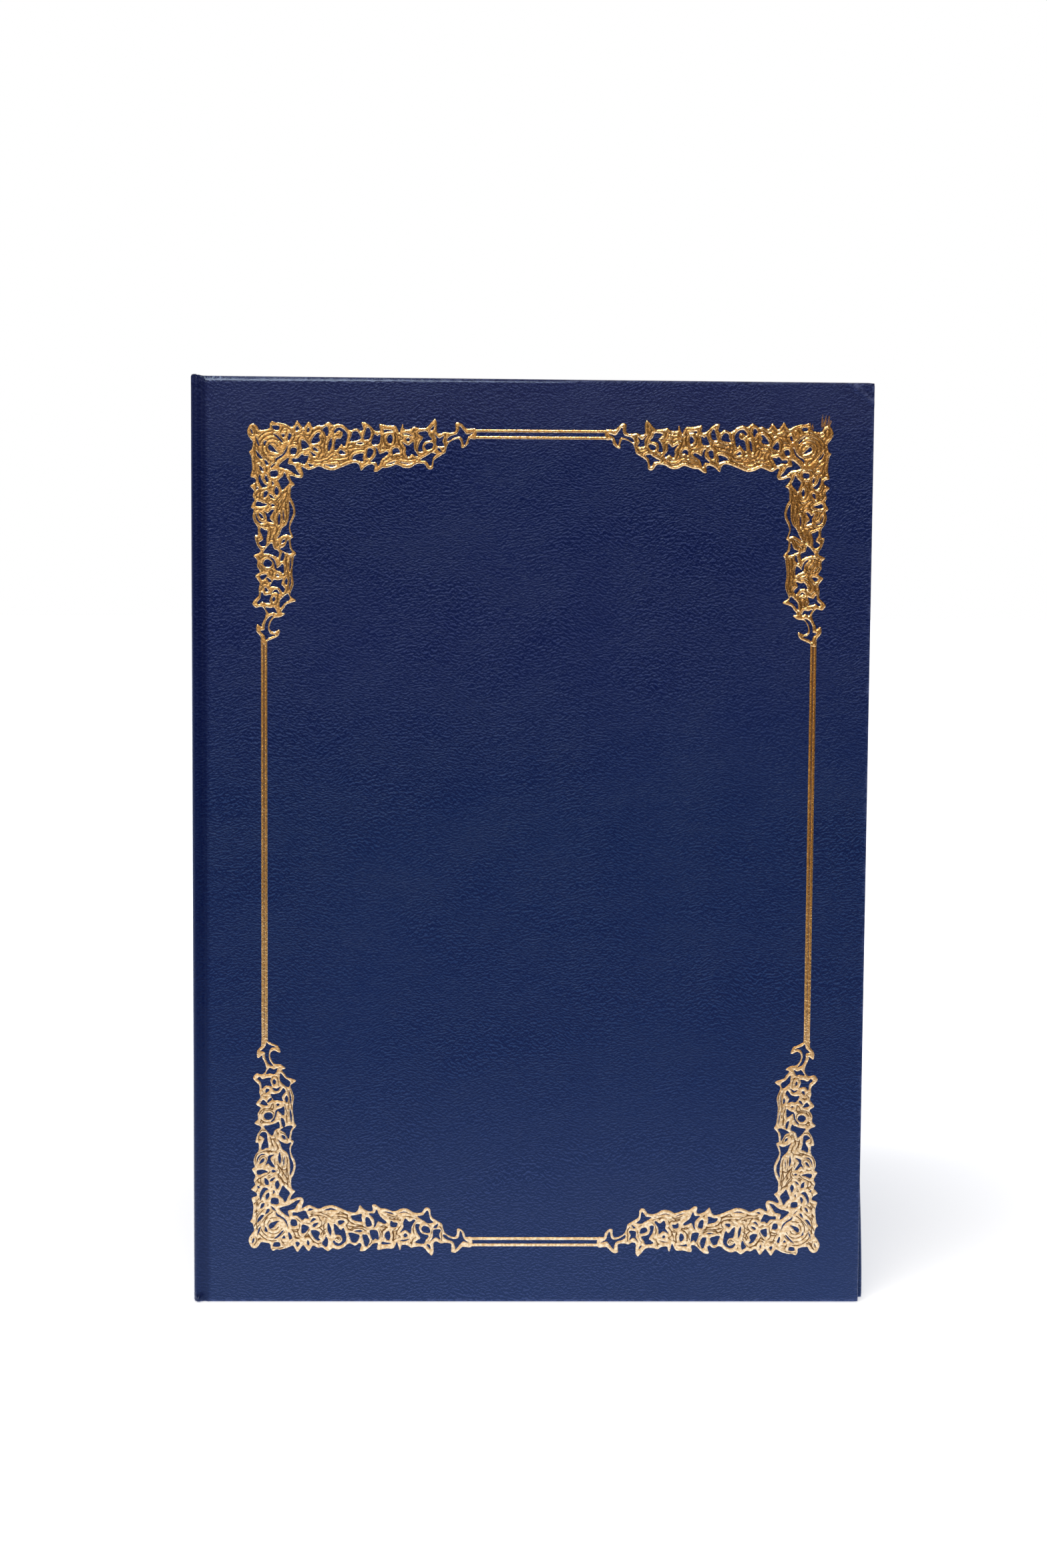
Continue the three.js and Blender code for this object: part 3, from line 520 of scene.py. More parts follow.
def beside_crease(p):
    """Distances across the corner crease, above it counted as more than 0, and along it."""
    along_crease = (CREASE_TO - CREASE_FROM) / np.linalg.norm(CREASE_TO - CREASE_FROM)
    off = p[:, [0, 2]] - CREASE_FROM
    return off @ np.array((-along_crease[1], along_crease[0])), off @ along_crease


print("crease of", round(float(np.linalg.norm(CREASE_TO - CREASE_FROM)), 1), "mm")

# %% Creases and tucks
CREASE_LIFT = 0.5
CREASE_WIDTH = 0.8
CREASE_DEPTH = 1.5
HOLLOW = 0.25
HOLLOW_WIDTH = 0.6
HOLLOW_BELOW = 1.5
OUTER_HALF = 2.2
SPINE_END = 5
SPINE_TIP = 1.2
SPINE_TIP_WIDTH = 1.6
TIP_RISE = 0.45
KNOB_PLACE = 2.1
KNOB_WIDTH = 1.2
KNOB_HEIGHT = 1.3


def crease_corner(p):
    across, run = beside_crease(p)
    ripple = 1 + 0.3 * np.sin(run * 4.2) + 0.2 * np.sin(run * 2.3 + 1)
    raised = CREASE_LIFT * hump(across, CREASE_WIDTH) * ripple
    lift = raised - HOLLOW * hump(across + HOLLOW_BELOW, HOLLOW_WIDTH)
    outer = np.clip(1 - p[:, 1] / CREASE_DEPTH, 0, 1)
    p[:, 1] -= lift * outer


def gather_spine_ends(p):
    near = hump(p[:, 0] - SPINE_TIP, SPINE_TIP_WIDTH)
    head = near * eased((p[:, 2] - HEIGHT + SPINE_END) / SPINE_END)
    foot = near * eased((SPINE_END - p[:, 2]) / SPINE_END)
    crumple = wavy(p, 0.9, 3.1)
    p[:, 2] += TIP_RISE * head * (1 + 0.8 * crumple)
    p[:, 1] += np.where(p[:, 1] < OUTER_HALF, (0.6 * crumple - 0.05) * (head + foot), 0)


def tuck_foot(p):
    knob = hump(p[:, 0] - KNOB_PLACE, KNOB_WIDTH) * hump(p[:, 2] - KNOB_HEIGHT, KNOB_HEIGHT)
    p[:, 1] -= np.where(p[:, 1] < OUTER_HALF, knob * (0.6 + 0.8 * wavy(p, 1.3, 8.4)), 0)


print("creases ready")

# %% Edges out of square
HEAD_RISE = 0.5
HEAD_FALL = 0.9
PULLED_TO = 134
PULLED_FADE = 14
PULLED_SLOPE = 0.47
PULLED_REACH = 1.7
PULLED_LOSS = 0.7
PULLED_DEPTH = 0.8
FOOT_STEP = 1.9
FOOT_STEP_HEIGHT = 70
FOOT_STEP_FROM = 24
FOOT_STEP_FADE = 20


def skew_head(p):
    """The covers weren't cut quite square: the head rises towards the spine."""
    p[:, 2] += (HEAD_RISE - HEAD_FALL * p[:, 0] / WIDTH) * p[:, 2] / HEIGHT


def pulled(p):
    """How tightly the head is pulled: fully from the spine to past the middle, then not at all."""
    return eased((PULLED_TO - p[:, 0]) / PULLED_FADE)


def pull_head(p):
    reach = PULLED_REACH - PULLED_LOSS * p[:, 0] / PULLED_TO
    near = np.clip(p[:, 2] - HEIGHT + reach, 0, None) * np.clip(1 - p[:, 1] / PULLED_DEPTH, 0, 1)
    p[:, 1] += PULLED_SLOPE * near * pulled(p)


def push_foot_out(p):
    low = 1 - eased(p[:, 2] / FOOT_STEP_HEIGHT)
    p[:, 0] += FOOT_STEP * low * eased((p[:, 0] - WIDTH + FOOT_STEP_FROM) / FOOT_STEP_FADE)


print("head pulled tight over", PULLED_TO, "mm")

# %% [markdown]
# The finish above reads three marks on the skin's points: where it is rubbed and where it has a painted
# highlight, where it is pressed and where it has painted shade, and where it is pulled tight. They could be
# painted by hand in Weight Paint, but sums on the points give the same result on every run.

# %% Marks on the skin
EDGE_WEAR = 0.6
EDGE_WEAR_WIDTH = 0.9
CORNER_WEAR_WIDTH = 5
FOLD_HIGHLIGHT = 0.9


def edge_rub(p):
    """How much a point is rubbed: along the edges, and most at the corners."""
    to_edge = np.minimum(np.minimum(WIDTH - p[:, 0], p[:, 2]), HEIGHT - p[:, 2])
    face = np.clip(1.3 - p[:, 1], 0, 1)
    edge = hump(np.maximum(to_edge, 0), EDGE_WEAR_WIDTH) * face
    to_corner = np.hypot(WIDTH - p[:, 0], np.minimum(p[:, 2], HEIGHT - p[:, 2]))
    corner = hump(to_corner, CORNER_WEAR_WIDTH)
    return np.clip(EDGE_WEAR * edge + EDGE_WEAR * edge * corner, 0, 1)


def front_rub_and_highlight(p):
    """The front cover also has a painted highlight on the crease and on the tip at the head of the spine."""
    across, _ = beside_crease(p)
    tip = hump(p[:, 0] - 2.2, 1.3) * hump(HEIGHT - p[:, 2] - 2.4, 1.6)
    fold_highlights = FOLD_HIGHLIGHT * hump(across - 0.3, CREASE_WIDTH) + FOLD_HIGHLIGHT * tip
    return np.clip(edge_rub(p) + fold_highlights * (p[:, 1] < 0.8), 0, 1)


# Smoother and darker in the groove by the spine, with painted shade on the knob at its foot.
def groove_press_and_shade(p):
    groove = eased((JOINT + 0.8 - p[:, 0]) / 1.2) * (p[:, 1] < 2)
    return np.clip(groove + hump(p[:, 0] - KNOB_PLACE, 1.5) * hump(p[:, 2] - 1.0, 1.6), 0, 1.4)


def head_taut(p):
    return hump(HEIGHT - p[:, 2] - 0.7, 0.8) * (p[:, 1] < 1.6) * pulled(p)


print("marks ready")

# %% [markdown]
# Both skins and the stamped corners are finished in the same way: the points that fall together are merged,
# the faces are turned outwards and shaded smooth, and only sharp folds stay sharp. A skin is still open at
# its end on the spine, where the front one meets the back one, so that rim is filled.

# %% Close a mesh


def closed_piece(name, places, faces, marks, finish, merge, sharp, fill_rim=False):
    """A piece from points in millimetres; marks are numbers to store on the points, sharp is in degrees."""
    mesh = bpy.data.meshes.new(name)
    mesh.from_pydata([Vector(p) * MM for p in places], [], faces)
    for label, values in marks.items():
        mesh.attributes.new(label, "FLOAT", "POINT").data.foreach_set("value", values.astype(np.float32))
    bm = bmesh.new()
    bm.from_mesh(mesh)
    bmesh.ops.remove_doubles(bm, verts=bm.verts, dist=merge * MM)
    if fill_rim:
        bmesh.ops.dissolve_degenerate(bm, dist=merge * MM, edges=bm.edges)
        rim = [e for e in bm.edges if e.is_boundary]
        bmesh.ops.triangle_fill(bm, use_beauty=False, edges=rim)
    bmesh.ops.recalc_face_normals(bm, faces=bm.faces)
    for face in bm.faces:
        face.smooth = True
    open_edges = sum(not e.is_manifold for e in bm.edges)
    bm.to_mesh(mesh)
    bm.free()
    mesh.set_sharp_from_angle(angle=math.radians(sharp))
    mesh.materials.append(finish)
    piece = bpy.data.objects.new(name, mesh)
    scene.collection.objects.link(piece)
    print(name, len(mesh.polygons), "faces,", open_edges, "open edges")
    return piece


print("mesh helper ready")

# %% Build the two skins
CORNER_STEPS = 6
SKIN_MERGE = 0.0005
SKIN_SHARP = 55


def corner_way(turn):
    """A direction round a corner, reaching further on the diagonal so that the corner is nearly square."""
    c, s = math.cos(turn), math.sin(turn)
    reach = max(c, s) ** -CORNER_SHARP
    return c * reach, s * reach


def build_skin(name, stations, to_frame, changes, rub_and_highlight_mark):
    """A closed skin over one cover; changes are functions that move its points in place."""
    points, faces = [], []
    heights = graded((CORNER, 0.5), (9, 4), (HEIGHT - 12, 0.5), (HEIGHT - CORNER, 0))

    def put(x, q, z):
        points.append((x, q, z))
        return len(points) - 1

    def grid(depth):
        return [[put(x + a * depth, q + b * depth, z) for z in heights] for x, q, a, b, _ in stations]

    outer, inner = grid(0), grid(SKIN)
    for i in range(len(stations) - 1):
        for j in range(len(heights) - 1):
            faces.append((outer[i][j], outer[i + 1][j], outer[i + 1][j + 1], outer[i][j + 1]))
            faces.append((inner[i][j], inner[i][j + 1], inner[i + 1][j + 1], inner[i + 1][j]))

    foot, head, last = heights[0], heights[-1], stations[-1]
    fan = [corner_way(math.pi / 2 * k / CORNER_STEPS) for k in range(1, CORNER_STEPS)]
    columns = [(s, 0, -1, foot) for s in stations]
    columns += [(last, a, -b, foot) for b, a in fan]
    columns += [(last, 1, 0, z) for z in heights]
    columns += [(last, a, b, head) for a, b in fan]
    columns += [(s, 0, 1, head) for s in reversed(stations)]
    rings = []
    for (x, q, a, b, thick), out_x, out_z, z in columns:
        ring = []
        for inset, depth in edge_profile(thick):
            reach = CORNER - inset
            side = min(x + out_x * reach, WIDTH - inset)
            up = min(max(z + out_z * reach, inset), HEIGHT - inset)
            ring.append(put(side + a * depth, q + b * depth, up))
        rings.append(ring)
    for one, two in zip(rings, rings[1:]):
        for k in range(len(one) - 1):
            faces.append((one[k], two[k], two[k + 1], one[k + 1]))

    local = np.array(points)
    for change in changes:
        change(local)
    marks = {"rub_and_highlight": rub_and_highlight_mark(local), "press_and_shade": groove_press_and_shade(local), "taut": head_taut(local)}
    places = [to_frame(*p) for p in local]
    return closed_piece(name, places, faces, marks, LEATHERETTE, SKIN_MERGE, SKIN_SHARP, fill_rim=True)


def on_front(x, q, z):
    return LEFT + x, FRONT + q, z


def on_back(x, q, z):
    return LEFT + x, BACK - q, z


front_skin = build_skin("front_skin", joint_stations() + face_stations(), on_front,
                        [crease_corner, pull_head, gather_spine_ends, tuck_foot, skew_head], front_rub_and_highlight)
back_skin = build_skin("back_skin", spine_stations() + joint_stations() + face_stations(), on_back,
                       [gather_spine_ends, push_foot_out, skew_head], edge_rub)


def at_corner(place, x, q):
    return [c * MM for c in place(x, q, HEIGHT / 2)]


at_corner(on_front, 0, SPINE_ROUND)
at_corner(on_front, SPINE_ROUND, 0)
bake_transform(front_skin)
at_corner(on_back, SPINE_ROUND, 0)
at_corner(on_back, 0, SPINE_ROUND)
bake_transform(back_skin)
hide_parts("front_leatherette")
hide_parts("back_leatherette", "spine_leatherette")

# %% [markdown]
# ## The drawing of a stamped corner
# Each corner of the border is a spray of roses and curling leaves, the kind that has been stamped on
# diplomas and albums for well over a century. The die was drawn once and used four times, mirrored. The
# drawing below is listed: an outline, and the openings between leaves where the skin shows. The
# first number runs along the level arm and the second along the upright arm, from the crossing of the two
# rules. A smooth curve goes through the points, so few are needed.

# %% Outline of a stamped corner
CREST = [
    (70, -1.7), (67, -1.8), (65.6, -3.1), (64.4, -3.8), (63.2, -3.5), (63.2, -2.2), (63, -0.7), (61.2, -0.4),
    (59.6, -0.6), (58.2, 0), (57.1, -0.6), (57.1, -3.4), (56.5, -4.8), (55.4, -3.9), (53.4, -1.9),
    (50.8, -1.9), (49.6, -2.2), (48.3, -1.4), (46.4, -1.3), (46, -2.6), (45.6, -2.9), (45.2, -1.6),
    (44.7, -0.2), (44.1, -1.4), (43.3, -2.5), (41, -2.5), (38.5, -3), (38, -2.4), (38.2, -0.7), (36.6, -0.9),
    (35.2, -2.3), (33.6, -3.4), (32.2, -3.3), (32.7, -1.4), (32, -0.6), (30.6, -1.5), (28.5, -0.8),
    (26.6, -2.2), (24.6, -2.9), (23, -2.5), (21.3, -3.5), (19.4, -2.3), (18, -2.4), (16.2, -1.7),
    (14.8, -3.5), (13.1, -1.6), (12, -2.6), (11, -3.8), (9.9, -2.2), (9.2, -1.7), (7.2, -2.6), (5, -3.1),
    (4, -3), (2.7, -3.5), (2, -2.6), (1.6, -1.1), (-1.2, -0.6), (-2.2, -1.9), (-3.4, -2.7), (-4.6, -2.2),
    (-5.4, -0.6), (-5.4, 0.8), (-4.6, 2.2), (-3.8, 3.2)]
OUTER_SIDE = [
    (-3.7, 4.2), (-4.1, 5.8), (-4.9, 6.6), (-4.3, 7.8), (-4, 10), (-3.9, 12.4), (-4.4, 14.2), (-4.2, 14.9),
    (-2.8, 15.5), (-2.8, 16.5), (-3.9, 17.2), (-4.5, 17.9), (-3.3, 19.4), (-3.7, 21), (-3.2, 22.5),
    (-4.2, 24.4), (-4.2, 25), (-3.4, 25.7), (-3.8, 27.7), (-3.1, 29.8), (-2.1, 31.4), (-2.1, 33.8),
    (-3.1, 34.2), (-2.5, 36.8), (-1.2, 39.3), (-3.4, 40.7), (-2.3, 42.1), (-2.3, 44.2), (-1.4, 46.1),
    (-2.9, 47.4), (-1.5, 49.6), (-1.8, 51.5), (-1.8, 53.8), (-3.2, 55.3), (-3.9, 56.6), (-2.7, 57.9),
    (-0.8, 57.6), (0.5, 59.2), (0.3, 61), (-0.7, 63.2), (-0.9, 64.2), (-1.9, 63.4), (-2.5, 63.6),
    (-2.5, 65.7), (-1.2, 67.4), (-0.95, 69.9)]
INNER_SIDE = [
    (0.95, 69.9), (1.2, 69), (2.8, 68.2), (4.6, 67.3), (5.3, 65.5), (4.8, 65.2), (3.2, 65.9), (2, 65.1),
    (2, 63.4), (3.2, 61.4), (5.4, 61), (7, 59.8), (5.8, 59.2), (6.8, 57.8), (7.6, 56.7), (10.2, 55.8),
    (10.4, 55.2), (9, 54.2), (8.7, 53.3), (9.8, 50), (9.4, 46.4), (9.9, 41.4), (10.6, 39.9), (9.3, 38.2),
    (8.9, 35.3), (9.7, 34.5), (8.9, 32.4), (8.8, 30.8), (10.2, 27.6), (10.4, 25.6), (9.7, 23), (8.9, 21.4),
    (9.1, 18.3), (10.2, 17.3), (9.2, 16), (8.6, 14.6)]
INNER_EDGE = [
    (9.2, 14.4), (11, 15), (12.5, 15), (13.1, 13.8), (12.5, 11.8), (12.8, 11.4), (14.7, 12.4), (16.4, 11.9),
    (18.3, 11.2), (20.6, 12.1), (23, 12.4), (25.4, 11.5), (28.3, 10.3), (30.4, 9.9), (31.5, 10.8),
    (32.1, 12.4), (33.6, 11.1), (35.4, 10.3), (36.5, 10.8), (36.3, 12.5), (37.4, 12.7), (39.2, 11.5),
    (41, 11.3), (43.8, 10.4), (46, 11.3), (48.2, 11.3), (50.4, 10.1), (52.8, 10), (54.1, 11.5), (54.9, 11.8),
    (55.9, 11.2), (56.3, 8.8), (58.4, 7.2), (59.9, 6.2), (60.4, 4.4), (61.3, 2.8), (63.2, 1.8), (64.4, 1.7),
    (65, 2.8), (65.1, 4.4), (66.2, 4.4), (67.5, 3.2), (68, 1.7), (70, 1.5)]
print("outline:", len(CREST + OUTER_SIDE + INNER_SIDE + INNER_EDGE), "points")

# %% Openings between the leaves
ROSE_CELLS = [
    [(-4.3, -0.9), (-3.8, -0.2), (-3.6, 0.8), (-4.1, 0.3)],
    [(-2.5, 1.9), (-1.9, 3.2), (-1.4, 4.8), (-2.2, 3.8)],
    [(-2.5, 6.3), (-1.4, 7.4), (-0.4, 8.7), (-1.2, 8.8), (-2.2, 7.6)],
    [(0.2, 9.3), (1, 9.7), (1.6, 10.7), (0.8, 10.8)],
    [(-1.5, 11.2), (-0.6, 11.8), (-0.2, 12.9), (-1.1, 12.6)],
    [(1.4, 5.2), (1.9, 4.2), (3, 4.9), (4, 6.1), (4.8, 6.8), (3.4, 6.6), (2, 6)],
    [(0, 3.5), (0.9, 3), (0.6, 3.9), (0.2, 4.7)],
    [(3.1, 0.6), (4.7, 1.4), (6.1, 3), (6, 3.5), (4.4, 1.9)],
    [(7.8, 4.6), (7.3, 6.7), (6.4, 7.8), (4.4, 9.2), (3.9, 10), (4, 8.7), (5.9, 7.6), (6.9, 6.4)],
    [(3.7, 10.4), (2.9, 11.4), (2.2, 11.9), (2.7, 11)]]
CREST_CELLS = [
    [(2.9, -2), (5, -1.9), (4.8, -0.7), (3.2, -0.8)],
    [(5.9, 0.9), (6.9, 0.8), (6.5, 1.7)],
    [(8.3, 0.6), (9.1, 0.9), (8.8, 2), (8.2, 2.8), (7.9, 2.4)],
    [(10.4, -0.7), (11, -2), (11.7, -0.9), (11, -0.5)],
    [(14.3, -0.7), (14.7, -1.5), (15, -0.7), (14.5, 0.1)],
    [(12.4, 3.2), (13, 2.6), (14.1, 3.4), (14.8, 4.7), (13.6, 5.4), (12.6, 5.4)],
    [(8.8, 5.9), (9.5, 5.1), (10.8, 5.5), (10.4, 7.2), (9, 7.2)],
    [(15.7, 3), (16.7, 1.2), (17.9, 0.2), (18.6, 0.5), (18.1, 1.3), (18.5, 2.6), (17.6, 3.5), (16, 3.6)],
    [(19.4, -0.8), (20.4, -1.9), (21.1, -1.6), (21.3, 0.2), (20.7, 1.3), (20.1, 0.2)],
    [(22.3, 2), (22.4, 3.8), (21.9, 5.5), (21.3, 6.1), (21.3, 4), (21.8, 2.6)],
    [(23.1, -0.3), (24.2, -1.5), (25.7, -1.4), (27.3, 0.1), (27.4, 1.6), (26.9, 3.8), (26.4, 4.5),
     (25.6, 3.8), (24.3, 5.3), (23.4, 5.8), (23.5, 3.6), (24, 2.2), (25.4, 1.9), (26.1, 0.6), (25.4, -0.6),
     (24.2, -0.4), (23.5, 0.3)],
    [(24.8, 6.7), (25.4, 5.7), (26.9, 6.8), (25.6, 7.1)],
    [(16.2, 5.4), (16.8, 4.9), (18, 6.1), (17, 6.1)],
    [(15.4, 6.5), (16.3, 6.9), (17.2, 7.5), (16.3, 7.8)],
    [(9.6, 8.7), (11.2, 8.6), (12.6, 7.3), (13.4, 7.8), (14.7, 7.8), (14.2, 9.2), (13.4, 10.4), (11.2, 9.8),
     (9.7, 9.8)],
    [(5, 11.2), (6.2, 9.8), (8.2, 8.5), (7.9, 10.4), (9.8, 11), (10.8, 12.5), (11.9, 14.1), (10.4, 13.8),
     (8.4, 12.4), (6.3, 11.8)],
    [(2.2, 13.1), (3.4, 12.7), (4.5, 12.9), (4.5, 14.4), (3.4, 14.8), (2.3, 14.6)],
    [(14.7, 10.4), (16.3, 10.9), (15.2, 11.2)],
    [(20.2, 10.6), (22.4, 10.8), (24.2, 10.7), (22.2, 11.3)]]
LEVEL_CELLS = [
    [(28.4, 2.6), (28.9, 1.2), (29.4, -0.2), (30.8, -0.4), (31.9, 1.4), (31.5, 2.2), (29.4, 2.8)],
    [(33, 1.9), (33.6, -0.6), (34, -1.6), (34.7, -1.6), (35.3, 0.2), (34.6, 2), (33.7, 2.2)],
    [(36.1, 1.3), (36.7, 0.4), (37.4, 1), (38.3, 0.5), (38.4, 1.8), (37.8, 3.6), (35.6, 3.6)],
    [(39.7, -1), (41.4, -1), (42.6, -0.6), (41, -0.5), (39.8, -0.2)],
    [(40.6, 1.9), (41.2, 0.8), (41.9, 0.5), (42.4, 1.7), (42, 3.4), (41, 3)],
    [(30.4, 3.5), (32, 3.2), (33, 3.5), (32, 3.8)],
    [(45.9, 0.3), (47.4, 0.1), (49, 0.9), (47.4, 0.5)],
    [(47, 2.1), (47.6, 1.5), (48.2, 2.1), (47.6, 2.7)],
    [(45.9, 3.2), (47.7, 4), (49.3, 2.9), (49.6, 5.2), (50.8, 7.2), (50.2, 7.5), (48.9, 6.8), (47.6, 7.8),
     (46.9, 6.5), (47, 5)],
    [(42.6, 5.3), (44.2, 5), (44.8, 6.3), (43.6, 6.5), (42.7, 7)],
    [(34.3, 5.5), (35.2, 5.1), (36.1, 5.9), (35.2, 8), (34.1, 8)],
    [(29.3, 8.2), (30.2, 7.3), (32.6, 6.8), (32.6, 8.2), (32.6, 9.4), (30.6, 8.9), (29.3, 8.8)],
    [(36.8, 4.8), (37.5, 5.4), (38.2, 6.9), (39.2, 6.6), (40.5, 6.1), (41, 6.8), (38.9, 8.6), (37.8, 10.8),
     (37, 9.6), (35.3, 9.5), (36.8, 7.8), (37.1, 6.2)],
    [(40.4, 10.3), (43.4, 9.3), (42.4, 10)],
    [(45.2, 9.6), (47.4, 9.9), (49.4, 9.4), (47.2, 10.2)],
    [(51, -0.1), (52, -0.6), (53.8, -0.6), (54.4, 0.6), (55.3, 2), (53, 2.8), (52.2, 4.4), (52.4, 5.8),
     (51, 5.8), (51.4, 3.4), (52.6, 1.4), (51.8, 0.6)],
    [(53.1, 4.2), (54.2, 3.2), (55.8, 3.2), (55.4, 4.8), (53.8, 5.3)],
    [(54.9, -1.2), (56, -2.5), (55.9, -1.5), (55.3, -1)],
    [(56.2, 0.2), (57.8, 1.5), (59.4, 0.8), (58.9, 2.4), (59.4, 4), (57.1, 3.9), (57, 1.8)],
    [(57.1, 5), (58, 4.8), (58.6, 6.2)],
    [(51.8, 8.7), (54, 7.2), (55.3, 6.4), (56.9, 6.8), (55.8, 8), (55.3, 10.4), (54.6, 10.4), (53.6, 9.1)],
    [(60.4, 2.1), (61.4, 0.9), (63.6, 0.1), (64.4, -1.4), (64.7, -2.5), (66.4, -0.4), (67.3, 0.1),
     (69, -0.3), (67.4, 0.9), (66.6, 3), (66, 3.6), (65.5, 1.5), (64.4, 0.9), (62.6, 1.4), (60.9, 2.5)]]
UPPER_CELLS = [
    [(-1.4, 14), (-0.9, 15.4), (0, 17), (1.1, 17.8), (-0.3, 18.3), (-1.3, 17), (-1.7, 15.4)],
    [(0.7, 14.3), (1.4, 15.6), (1.2, 16.6), (0.3, 15.6)],
    [(2.8, 16.3), (3.3, 17), (2.9, 17.4)],
    [(6.9, 13.5), (7.7, 15.2), (8.3, 16.6), (7, 18.2), (6.1, 19), (5.3, 17.3), (4.9, 15.9), (6.2, 14.6)],
    [(-2.3, 18.1), (-1.7, 18.6), (-2.4, 18.9)],
    [(4.1, 18), (4.9, 19.4), (4.3, 20.8), (3.5, 19.7)],
    [(0.3, 19.6), (1.2, 19.5), (1.1, 20.8), (0, 21.7), (0, 20.4)],
    [(1.7, 20.6), (2.6, 20.9), (3.4, 21.9), (2.3, 21.5)],
    [(-2.6, 23.8), (-2.1, 22.9), (-0.2, 23.5), (1, 23.9), (-0.6, 24.5), (-2.3, 24.4)],
    [(2.4, 24.2), (2.8, 23.7), (3.7, 24.1), (2.9, 24.5)],
    [(0.3, 26.2), (1.2, 26.8), (2.4, 25.7), (3.3, 25.8), (1.9, 28.3), (3.2, 29.8), (1.3, 29.3), (1, 28)],
    [(-1.7, 26.7), (-0.4, 27.6), (-0.3, 28.5), (-1.2, 28)],
    [(-2.7, 26.9), (-2.2, 28.2), (-1.4, 29.4), (0.1, 29.8), (-1.2, 30), (-2.4, 28.8)],
    [(5.1, 26.8), (5.4, 28.6), (5, 30.7), (4.6, 28.6)],
    [(6.4, 26), (6.7, 29.2), (6.3, 27.8)],
    [(8.4, 22.8), (9.5, 25), (9.5, 27), (8.5, 29.6), (8.3, 32.2), (8.8, 34), (7.4, 33.6), (5.6, 34.3),
     (4.4, 35.1), (5.2, 33.8), (6, 31.8), (7.6, 30.2), (8.3, 27.8), (8.5, 25)],
    [(-0.9, 31.6), (0.2, 32.2), (1.2, 32.6), (0.8, 35), (0.6, 37.2), (-0.6, 37.6), (-1.7, 36.5),
     (-0.2, 35.3), (-1.1, 33)]]
LOWER_CELLS = [
    [(6.9, 35.2), (6.8, 36.2), (5.8, 36.6), (6.1, 35.7)],
    [(2.5, 36.6), (3.3, 38.4), (4.9, 39.3), (4.6, 41.2), (3.4, 40.6), (1.2, 40), (-0.1, 39.8), (0.6, 38.4)],
    [(8, 35.5), (8.5, 38), (9.3, 39.6), (7.8, 39.8), (5.4, 38.5), (6.8, 37.6)],
    [(6.3, 39.5), (6.8, 40.4), (6.4, 42), (5.5, 42.4), (5.8, 40.6)],
    [(-0.2, 43.2), (0.4, 42.2), (1.4, 42), (2.4, 42.5), (2.7, 43.3), (2.2, 44.2), (1, 44.4), (0.1, 44)],
    [(2, 41.1), (3.2, 41.8), (4, 43.6), (4.4, 44.8), (6.3, 43.5), (6.5, 46.4), (5.4, 45.9), (3.8, 45.1),
     (3.3, 43), (2.3, 41.7)],
    [(9, 41.2), (9, 43.6), (8.5, 46), (8.6, 43.4)],
    [(4.4, 46.7), (4.9, 47.4), (4.1, 47.4)],
    [(-1.3, 47.5), (0.4, 46.9), (0.9, 47.3), (-0.4, 48.7)],
    [(1, 47.9), (2.3, 48.8), (2.1, 49.5), (1.2, 48.8)],
    [(2.1, 50.8), (3.2, 48.8), (4.6, 48.8), (6.1, 48.5), (5.7, 50), (6.9, 51.6), (6.2, 52.8), (5, 51.3),
     (3.4, 50.8)],
    [(7.5, 48), (7.8, 49.2), (7.4, 50.3), (6.9, 49.2)],
    [(8.7, 47.4), (8.9, 49.4), (8.2, 52.2), (8.5, 49.6)],
    [(0.4, 51.2), (1.5, 52.3), (0.5, 52.5)],
    [(2.8, 53), (3.4, 52.1), (4.4, 52), (5.2, 53.4), (4, 52.7)],
    [(-0.8, 52.8), (0.2, 53.8), (1.6, 53.7), (2.3, 53.6), (1.8, 55.4), (2, 56.4), (0.6, 56.3), (-0.6, 55.9),
     (-1.6, 56.7), (-2.3, 56.1), (-1.2, 54.8)],
    [(2.8, 55), (3.4, 54.2), (3.7, 55.2), (3.1, 55.9)],
    [(5.6, 55.1), (7.8, 53.3), (8.5, 55), (7, 56.2), (5.4, 57.9), (5.2, 56.4)],
    [(0.5, 57.8), (2, 58), (3.4, 57.9), (4.2, 59.7), (3, 59.3), (1.6, 59.7)],
    [(0.5, 62.8), (1.4, 61.3), (2.9, 60.6), (1.6, 62.8), (1.4, 65.2), (2.2, 66.6), (3.7, 66.9), (1.4, 67.9),
     (0.7, 68.5), (0.1, 67), (-1.1, 65.7), (0.1, 65.2), (0.2, 64)]]
CELLS = ROSE_CELLS + CREST_CELLS + LEVEL_CELLS + UPPER_CELLS + LOWER_CELLS
print("openings:", len(CELLS))

# %% [markdown]
# The die also has fine cuts: the edges of the rose's petals, the midribs of the leaves and the lines along
# the stems. They are drawn as short strokes, and each becomes a narrow groove in the metal.

# %% Fine cuts in the leaves
ROSE_EYE = (2.9, 5.6)
ROSE_REACH = 6.3


def petal(radius, start, end):
    """The edge of a petal: an arc round the rose's eye, between two angles in degrees."""
    turns = [math.radians(start + (end - start) * k / 8) for k in range(9)]
    return [(ROSE_EYE[0] + radius * math.cos(a), ROSE_EYE[1] + radius * math.sin(a)) for a in turns]


